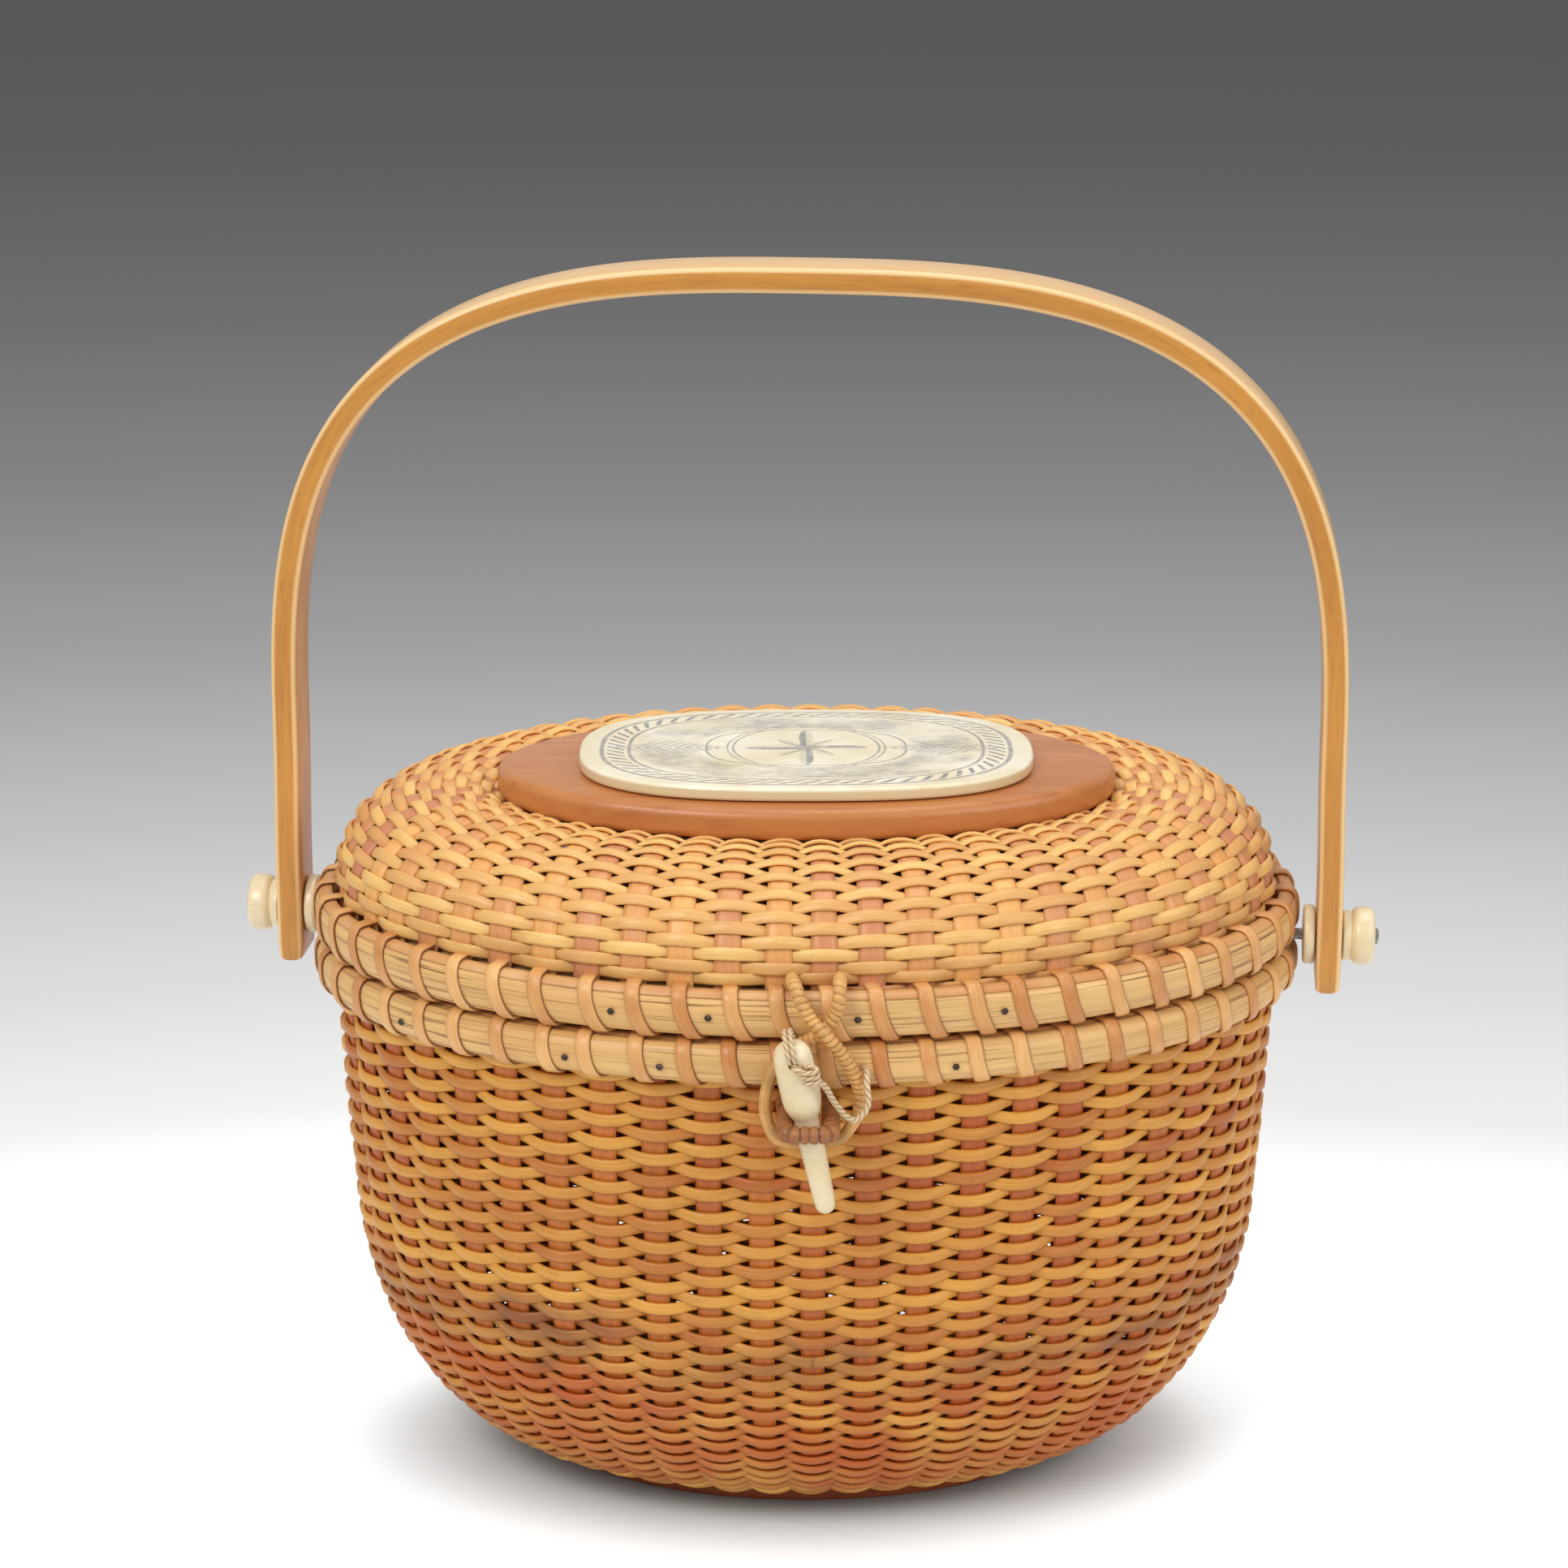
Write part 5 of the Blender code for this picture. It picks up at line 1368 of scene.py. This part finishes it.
class BASKET_OT_clasp(bpy.types.Operator):
    """Wrap the clasp's loop and staple and turn its peg"""
    bl_idname = "basket.clasp"
    bl_label = "Clasp"

    def execute(self, context):
        points = []
        for across, out, up in LOOP_SHARES:
            height = up * (0.01275 if up > 0 else 0.0223)
            depth = -(LASH_OUT - WALL_T / 2 - 0.0003) if out is None else out * 0.0018
            points.append(clasp_point(across * 0.0105, depth, height))
        line = smooth_line(points, 0.00012)

        def wrapped(share, length, angle):
            ends = min(1.0, max(0.0, (min(share, 1 - share) - 0.0) / 0.02))
            if 0.36 < share < 0.74:
                return 0.00142 + 0.00004 * math.sin(angle * 7 + length * 120)
            rib = abs(math.sin(math.pi * (length / 0.00150) + angle / 2))
            return (0.00118 + 0.00046 * rib ** 0.5) * (0.9 + 0.1 * ends)

        bundle = Bundle()
        tube(bundle, line, wrapped, 18, 0.00012, (0.00120, 0.00144))
        item = bundle.build("wrapped_clasp_loop")
        settle(item, "wrapped_clasp_loop", "loop", None, ("clasp_loop",))
        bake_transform(item)
        low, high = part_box("clasp_staple")
        middle = (low.z + high.z) / 2
        bar_y = low.y + 0.0019
        half = 0.0052
        inner = high.y
        legs = [(-half, inner), (-half, (inner + bar_y) / 2), (-half, bar_y + 0.0025),
                (-half + 0.0008, bar_y + 0.0008), (-half + 0.0025, bar_y), (0.0, bar_y), (half - 0.0025, bar_y),
                (half - 0.0008, bar_y + 0.0008), (half, bar_y + 0.0025), (half, (inner + bar_y) / 2), (half, inner)]
        line = smooth_line([(x, y, middle) for x, y in legs], 0.00020)

        def ribbed(share, length, angle):
            rib = abs(math.sin(math.pi * (length / 0.00210)))
            return 0.00150 + 0.00062 * rib ** 0.5

        bundle = Bundle()
        tube(bundle, line, ribbed, 18, 0.00020, (0.00154, 0.00190))
        settle(bundle.build("wrapped_clasp_staple"), "wrapped_clasp_staple", "staple", "basket",
               ("clasp_staple",))
        self.peg()
        return {"FINISHED"}

    def peg(self):
        """Turn the peg with its egg-shaped head and drill it for the cord."""
        lean = Vector((-0.20, -0.117, 1.0)).normalized()
        peg_out = 0.0003 + 0.0015 + 0.0015 + 0.0006 + 0.0025 + 0.00125
        top = clasp_point(0.0, peg_out, -0.0161) + lean * 0.0216
        outline = [(0.0, 0.0), (0.0001, 0.0016), (0.0005, 0.0028), (0.0012, 0.0036), (0.0024, 0.0042),
                   (0.0042, 0.00445), (0.0090, 0.0045), (0.0140, 0.0045), (0.0160, 0.0042), (0.0176, 0.0036),
                   (0.0188, 0.0030), (0.0196, 0.0028), (0.0215, 0.0030), (0.0260, 0.0029),
                   (0.0330, 0.0027), (0.0400, 0.0025), (0.0424, 0.0023), (0.0434, 0.0018),
                   (0.0440, 0.0010), (0.0442, 0.0)]
        bpy.ops.object.select_all(action="DESELECT")
        bpy.ops.mesh.primitive_circle_add(vertices=48, radius=outline[1][1], fill_type="NGON",
                                          location=(0.0, 0.0, -outline[1][0]))
        item = bpy.context.object
        bpy.ops.object.transform_apply(location=True, rotation=True, scale=True)
        bpy.ops.object.mode_set(mode="EDIT")
        bpy.ops.mesh.select_all(action="SELECT")
        depth, radius = outline[1]
        for new_depth, new_radius in outline[2:-1]:
            bpy.ops.mesh.extrude_region_move(TRANSFORM_OT_translate={"value": (0.0, 0.0, depth - new_depth)})
            share = new_radius / radius
            bpy.ops.transform.resize(value=(share, share, 1.0), center_override=(0.0, 0.0, -new_depth))
            depth, radius = new_depth, new_radius
        bpy.ops.object.mode_set(mode="OBJECT")
        face_out(item)
        bpy.ops.object.select_all(action="DESELECT")
        bpy.ops.mesh.primitive_cylinder_add(vertices=24, radius=0.0011, depth=0.03,
                                            location=(0.0, 0.0, -0.0036), rotation=(math.pi / 2, 0.0, 0.0))
        drill = bpy.context.object
        carve(item, drill)
        smooth(item, 38.0)
        ahead = (Vector((0.0, 1.0, 0.0)) - lean * lean.y).normalized()
        turn = Matrix((ahead.cross(lean), ahead, lean)).transposed().to_4x4()
        item.data.transform(Matrix.Translation(top) @ turn)
        settle(item, "ivory_peg", "ivory", "peg", ("clasp_peg",))


class BASKET_OT_cord(bpy.types.Operator):
    """Tie the peg's cord"""
    bl_idname = "basket.cord"
    bl_label = "Peg cord"

    def execute(self, context):
        route = cord_route()
        line = smooth_line(route, 0.0005)
        radius = 0.00075
        bundle = Bundle()

        def plies(share, along, angle):
            return radius * (0.90 + 0.10 * abs(math.cos(1.5 * angle - along * 2200.0)) ** 0.7)

        tube(bundle, line, plies, 16, 0.0005)
        item = bundle.build("linen_peg_cord")
        settle(item, "linen_peg_cord", "linen", None, ("peg_cord",))
        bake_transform(item)
        self.knot(line)
        return {"FINISHED"}

    def knot(self, line):
        """Pass a doubled strand through the hole and over the head, and tie a knot beside it."""
        lean = Vector((-0.20, -0.117, 1.0)).normalized()
        ahead = (Vector((0.0, 1.0, 0.0)) - lean * lean.y).normalized()
        across = ahead.cross(lean)
        hole = line[0]

        def ply(share, along, angle):
            return 0.00058 * (0.90 + 0.10 * abs(math.cos(1.5 * angle - along * 2600.0)) ** 0.7)

        bundle = Bundle()
        arch = ((0.0, 0.0), (-0.0036, 0.0003), (-0.0052, 0.0016), (-0.0046, 0.0036), (-0.0024, 0.0056),
                (0.0, 0.0062), (0.0026, 0.0054), (0.0046, 0.0034), (0.0052, 0.0014), (0.0036, 0.0003), (0.0, 0.0))
        for shift in (-0.00062, 0.00062):
            path = [hole + across * shift + ahead * deep + lean * up for deep, up in arch]
            tube(bundle, smooth_line(path, 0.0004), ply, 12, 0.0004)
        coil = []
        turns, count = 3.4, 48
        for step in range(count + 1):
            share = step / count
            angle = math.tau * turns * share
            coil.append(line[19] + across * (0.0017 * math.cos(angle)) + ahead * (0.0010 * math.sin(angle))
                        + lean * ((share - 0.5) * 0.0044 - 0.0003 * math.cos(angle)))
        tube(bundle, smooth_line(coil, 0.0004), ply, 12, 0.0004)
        settle(bundle.build("linen_knot"), "linen_knot", "linen", "peg")


def cord_route():
    """Return the points that the peg's cord follows, from the peg's hole to the rim."""
    low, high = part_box("peg_cord")
    lean = Vector((-0.20, -0.117, 1.0)).normalized()
    peg_out = 0.0003 + 0.0015 + 0.0015 + 0.0006 + 0.0025 + 0.00125
    hole = clasp_point(0.0, peg_out, -0.0161) + lean * 0.0216 - lean * 0.0036
    across = lean.cross(Vector((0.0, 1.0, 0.0))).normalized()
    bore = -((-lean).cross(across))
    left, right = rim_spot(0.5), rim_spot(1.5)
    along = (right - left).normalized()
    out = Vector((along.y, -along.x, 0.0))
    end = (left + right) / 2 + along * 0.0013
    return [
        hole,
        hole + bore * 0.0030,
        hole + bore * 0.0056 + Vector((0.0008, 0.0, -0.0004)),
        hole + Vector((0.0042, -0.0062, -0.0024)),
        hole + Vector((0.0072, -0.0038, -0.0056)),
        hole + Vector((0.0092, -0.0014, -0.0100)),
        hole + Vector((0.0118, 0.0006, -0.0142)),
        hole + Vector((0.0144, 0.0022, -0.0160)),
        hole + Vector((0.0170, 0.0032, -0.0130)),
        hole + Vector((0.0168, 0.0050, -0.0080)),
        end + out * 0.0030 + Vector((0.0006, 0.0, 0.0)),
        end,
    ]


def rim_spot(place):
    """Return a point on the body hoop's face, half way up the rim."""
    angle = rim_angle(place)
    return Vector(wall_point(RIM_LEVEL, angle, 0.0070, SEAM - 0.01035 / 2))


class BASKET_OT_hinges(bpy.types.Operator):
    """Bind the lid to the body with two cane loops at the back"""
    bl_idname = "basket.hinges"
    bl_label = "Hinge loops"

    def execute(self, context):
        for side, sign in (("left", 1), ("right", -1)):
            node = "hinge_loop_" + side
            low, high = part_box(node)
            place = 28 + sign * 3.5
            angle = rim_angle(place)
            out = Vector((RIM_B * math.cos(angle), RIM_A * math.sin(angle), 0.0)).normalized()
            across = Vector((-out.y, out.x, 0.0))
            middle = Vector(wall_point(RIM_LEVEL, angle, 0.0, 0.0))
            outside, inside = LASH_OUT + 0.0008, -(LASH_IN + 0.0008)
            bottom, top = low.z + 0.0005, high.z - 0.0005
            bundle = Bundle()
            soft = 0.0018
            corners = ((outside, bottom, -90, 0), (outside, top, 0, 90), (inside, top, 90, 180),
                       (inside, bottom, 180, 270))
            path = []
            for offset, z, start, end in corners:
                push = -1 if offset > 0 else 1
                lift = 1 if z == bottom else -1
                for step in range(6):
                    turn = math.radians(start + (end - start) * step / 5)
                    path.append((offset + push * soft + math.cos(turn) * soft,
                                 z + lift * soft + math.sin(turn) * soft, turn))
            for strand in (-0.5, 0.5):
                rings = []
                for offset, z, turn in path:
                    facing = out * math.cos(turn) + Vector((0.0, 0.0, math.sin(turn)))
                    centre = middle + out * offset + across * strand * 0.0035 + Vector((0.0, 0.0, z))
                    rings.append([tuple(centre + across * a * 0.0033 + facing * t * 0.0009) for a, t in (
                        (-0.5, -0.5), (0.5, -0.5), (0.5, 0.05), (0.28, 0.5), (-0.28, 0.5), (-0.5, 0.05))])
                bundle.add(rings, True, [0.4 + strand * 0.4] * len(rings), 0.0014)
            item = bundle.build("cane_hinge_" + side)
            settle(item, "cane_hinge_" + side, "cane", None, (node,))
            start = middle + out * LASH_OUT
            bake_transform(item)
        return {"FINISHED"}


class BASKET_OT_nails(bpy.types.Operator):
    """Finish the nails in the hoops"""
    bl_idname = "basket.nails"
    bl_label = "Nails"

    def execute(self, context):
        for node in frame["nodes"]:
            if "_tack_" in node:
                paint(node, "nail")
        return {"FINISHED"}


# Stage

class BASKET_OT_stage(bpy.types.Operator):
    """Lay the floor and set the camera and the lamps"""
    bl_idname = "basket.stage"
    bl_label = "Stage"

    def execute(self, context):
        settings = context.scene.basket_stage
        bpy.ops.object.select_all(action="DESELECT")
        bpy.ops.mesh.primitive_plane_add(size=24.0, location=(0.0, 0.0, 0.0))
        floor = bpy.context.object
        floor.name = "floor"
        floor.data.materials.append(self.floor_finish())
        self.camera(settings)
        self.lamps(settings)
        scene = context.scene
        scene.view_settings.view_transform = "Standard"
        world = bpy.data.worlds.new("even_light")
        world.use_nodes = True
        tree = world.node_tree
        tree.nodes["Background"].inputs["Strength"].default_value = settings.world
        path = tree.nodes.new("ShaderNodeLightPath")
        sky = tree.nodes.new("ShaderNodeMix")
        sky.data_type = "RGBA"
        sky.inputs[6].default_value = (1.0, 1.0, 1.0, 1.0)
        sky.inputs[7].default_value = (0.158, 0.158, 0.158, 1.0)
        tree.links.new(path.outputs["Is Camera Ray"], sky.inputs[0])
        tree.links.new(sky.outputs[2], tree.nodes["Background"].inputs["Color"])
        scene.world = world
        return {"FINISHED"}

    def floor_finish(self):
        """A pale floor with painted light: it darkens softly into the distance as a painted falloff, carries a painted
        contact shadow round the base and a cool tint against the basket's warm bounce light, and camera rays see it
        glow brighter round the basket as a painted lift.
        """
        finish = Finish("pale_floor", 0.9)
        where = finish.place()
        x = finish.axis(where, "X")
        y = finish.axis(where, "Y")
        far = finish.node("ShaderNodeMath", {"operation": "SQRT"}, {0: x * x * 0.3 + y * y})
        share = finish.spread(far, 0.0, 4.0)
        # painted falloff: the floor's colour darkens into the distance, for light that falls away
        stops = ((0.0, 1.0), (0.036, 1.0), (0.050, 0.94), (0.086, 0.715), (0.132, 0.545), (0.192, 0.388),
                 (0.272, 0.288), (0.385, 0.226), (0.557, 0.181), (0.775, 0.165))
        level = finish.node("ShaderNodeValToRGB", {
            "stops": [(place, (shade_level,) * 3) for place, shade_level in stops]}, {0: share})
        white, black = (1.0, 1.0, 1.0), (0.0, 0.0, 0.0)
        foot_x = (x + 0.004) * (1 / BASE_HIGH.x)
        foot_y = y * (1 / BASE_HIGH.y)
        near = finish.node("ShaderNodeMath", {"operation": "SQRT"}, {0: foot_x * foot_x + foot_y * foot_y})
        # a cool tint round the basket, which offsets its warm bounce light on the floor
        tint_and_painted_shadow = finish.mix(finish.spread(near, 2.2, 6.0), linear(243, 252, 255), white)
        # painted contact shadow: darker in an oval round the base board's footprint
        tint_and_painted_shadow = finish.mix(finish.spread(near, 1.0, 1.65, 0.50, 0.0), tint_and_painted_shadow, black)
        finish.feed("Base Color", finish.mix(1.0, level, tint_and_painted_shadow, "MULTIPLY"))
        # painted glow: camera rays see the floor brighter round the basket, but not next to it and not far off, which
        # keeps the painted shadow dark
        seen = finish.node("ShaderNodeLightPath", output="Is Camera Ray")
        painted_glow = finish.spread(far, 0.16, 0.24, 1.0, 0.0) * finish.spread(near, 1.08, 1.8) * seen
        finish.feed("Emission Color", finish.mix(painted_glow, black, white))
        finish.shader.inputs["Emission Strength"].default_value = 0.30
        finish.shader.inputs["Specular IOR Level"].default_value = 0.0
        return finish.material

    def camera(self, settings):
        """Stand the camera where the photograph was taken from."""
        data = bpy.data.cameras.new("photo_view")
        data.lens = settings.focal
        data.sensor_width = 36.0
        data.clip_end = 60.0
        item = bpy.data.objects.new("photo_view", data)
        bpy.context.collection.objects.link(item)
        turn = Matrix.Rotation(-settings.swing, 4, "Z")
        item.location = turn @ Vector((settings.side, -settings.distance, settings.height))
        item.rotation_euler = (math.pi / 2 - settings.pitch, 0.0, -settings.swing)
        bpy.context.scene.camera = item

    def lamps(self, settings):
        """Hang a large soft key lamp and a weaker fill."""
        for name, place, size, power in (
                ("key_lamp", (-0.75, -1.05, 1.25), 0.9, settings.key),
                ("fill_lamp", (1.1, -0.9, 0.8), 1.2, settings.fill),
                ("top_lamp", (0.1, 0.3, 1.6), 1.0, settings.fill)):
            data = bpy.data.lights.new(name, "AREA")
            data.shape = "DISK"
            data.size = size
            data.energy = power
            item = bpy.data.objects.new(name, data)
            bpy.context.collection.objects.link(item)
            item.location = place
            aim = Vector((0.0, 0.0, 0.12)) - Vector(place)
            item.rotation_euler = aim.to_track_quat("-Z", "Y").to_euler()


STEPS = ("stage", "weave_body", "weave_lid", "rims", "lashing", "boards", "handle", "pivots", "clasp",
         "cord", "hinges", "nails")


class BASKET_PT_panel(bpy.types.Panel):
    """Lists the steps that build the basket"""
    bl_idname = "BASKET_PT_panel"
    bl_label = "Lidded basket"
    bl_space_type = "VIEW_3D"
    bl_region_type = "UI"
    bl_category = "Basket"

    def draw(self, context):
        for group in ("basket_sizes", "basket_colours", "basket_stage"):
            box = self.layout.box()
            settings = getattr(context.scene, group)
            for key in settings.__annotations__:
                box.prop(settings, key)
        for step in STEPS:
            self.layout.operator("basket." + step)


CLASSES = (BasketSizes, BasketColours, StageSizes, BASKET_OT_stage, BASKET_OT_weave_body,
           BASKET_OT_weave_lid, BASKET_OT_rims, BASKET_OT_lashing, BASKET_OT_boards, BASKET_OT_handle,
           BASKET_OT_pivots, BASKET_OT_clasp, BASKET_OT_cord, BASKET_OT_hinges, BASKET_OT_nails,
           BASKET_PT_panel)


def register():
    """Register the classes and hang the settings on the scene."""
    for item in CLASSES:
        bpy.utils.register_class(item)
    bpy.types.Scene.basket_sizes = PointerProperty(type=BasketSizes)
    bpy.types.Scene.basket_colours = PointerProperty(type=BasketColours)
    bpy.types.Scene.basket_stage = PointerProperty(type=StageSizes)


def unregister():
    """Take the settings and the classes away again."""
    del bpy.types.Scene.basket_stage
    del bpy.types.Scene.basket_colours
    del bpy.types.Scene.basket_sizes
    for item in reversed(CLASSES):
        bpy.utils.unregister_class(item)


def main():
    """Build every piece in order."""
    register()
    for step in STEPS:
        getattr(bpy.ops.basket, step)()


if __name__ == "__main__":
    main()
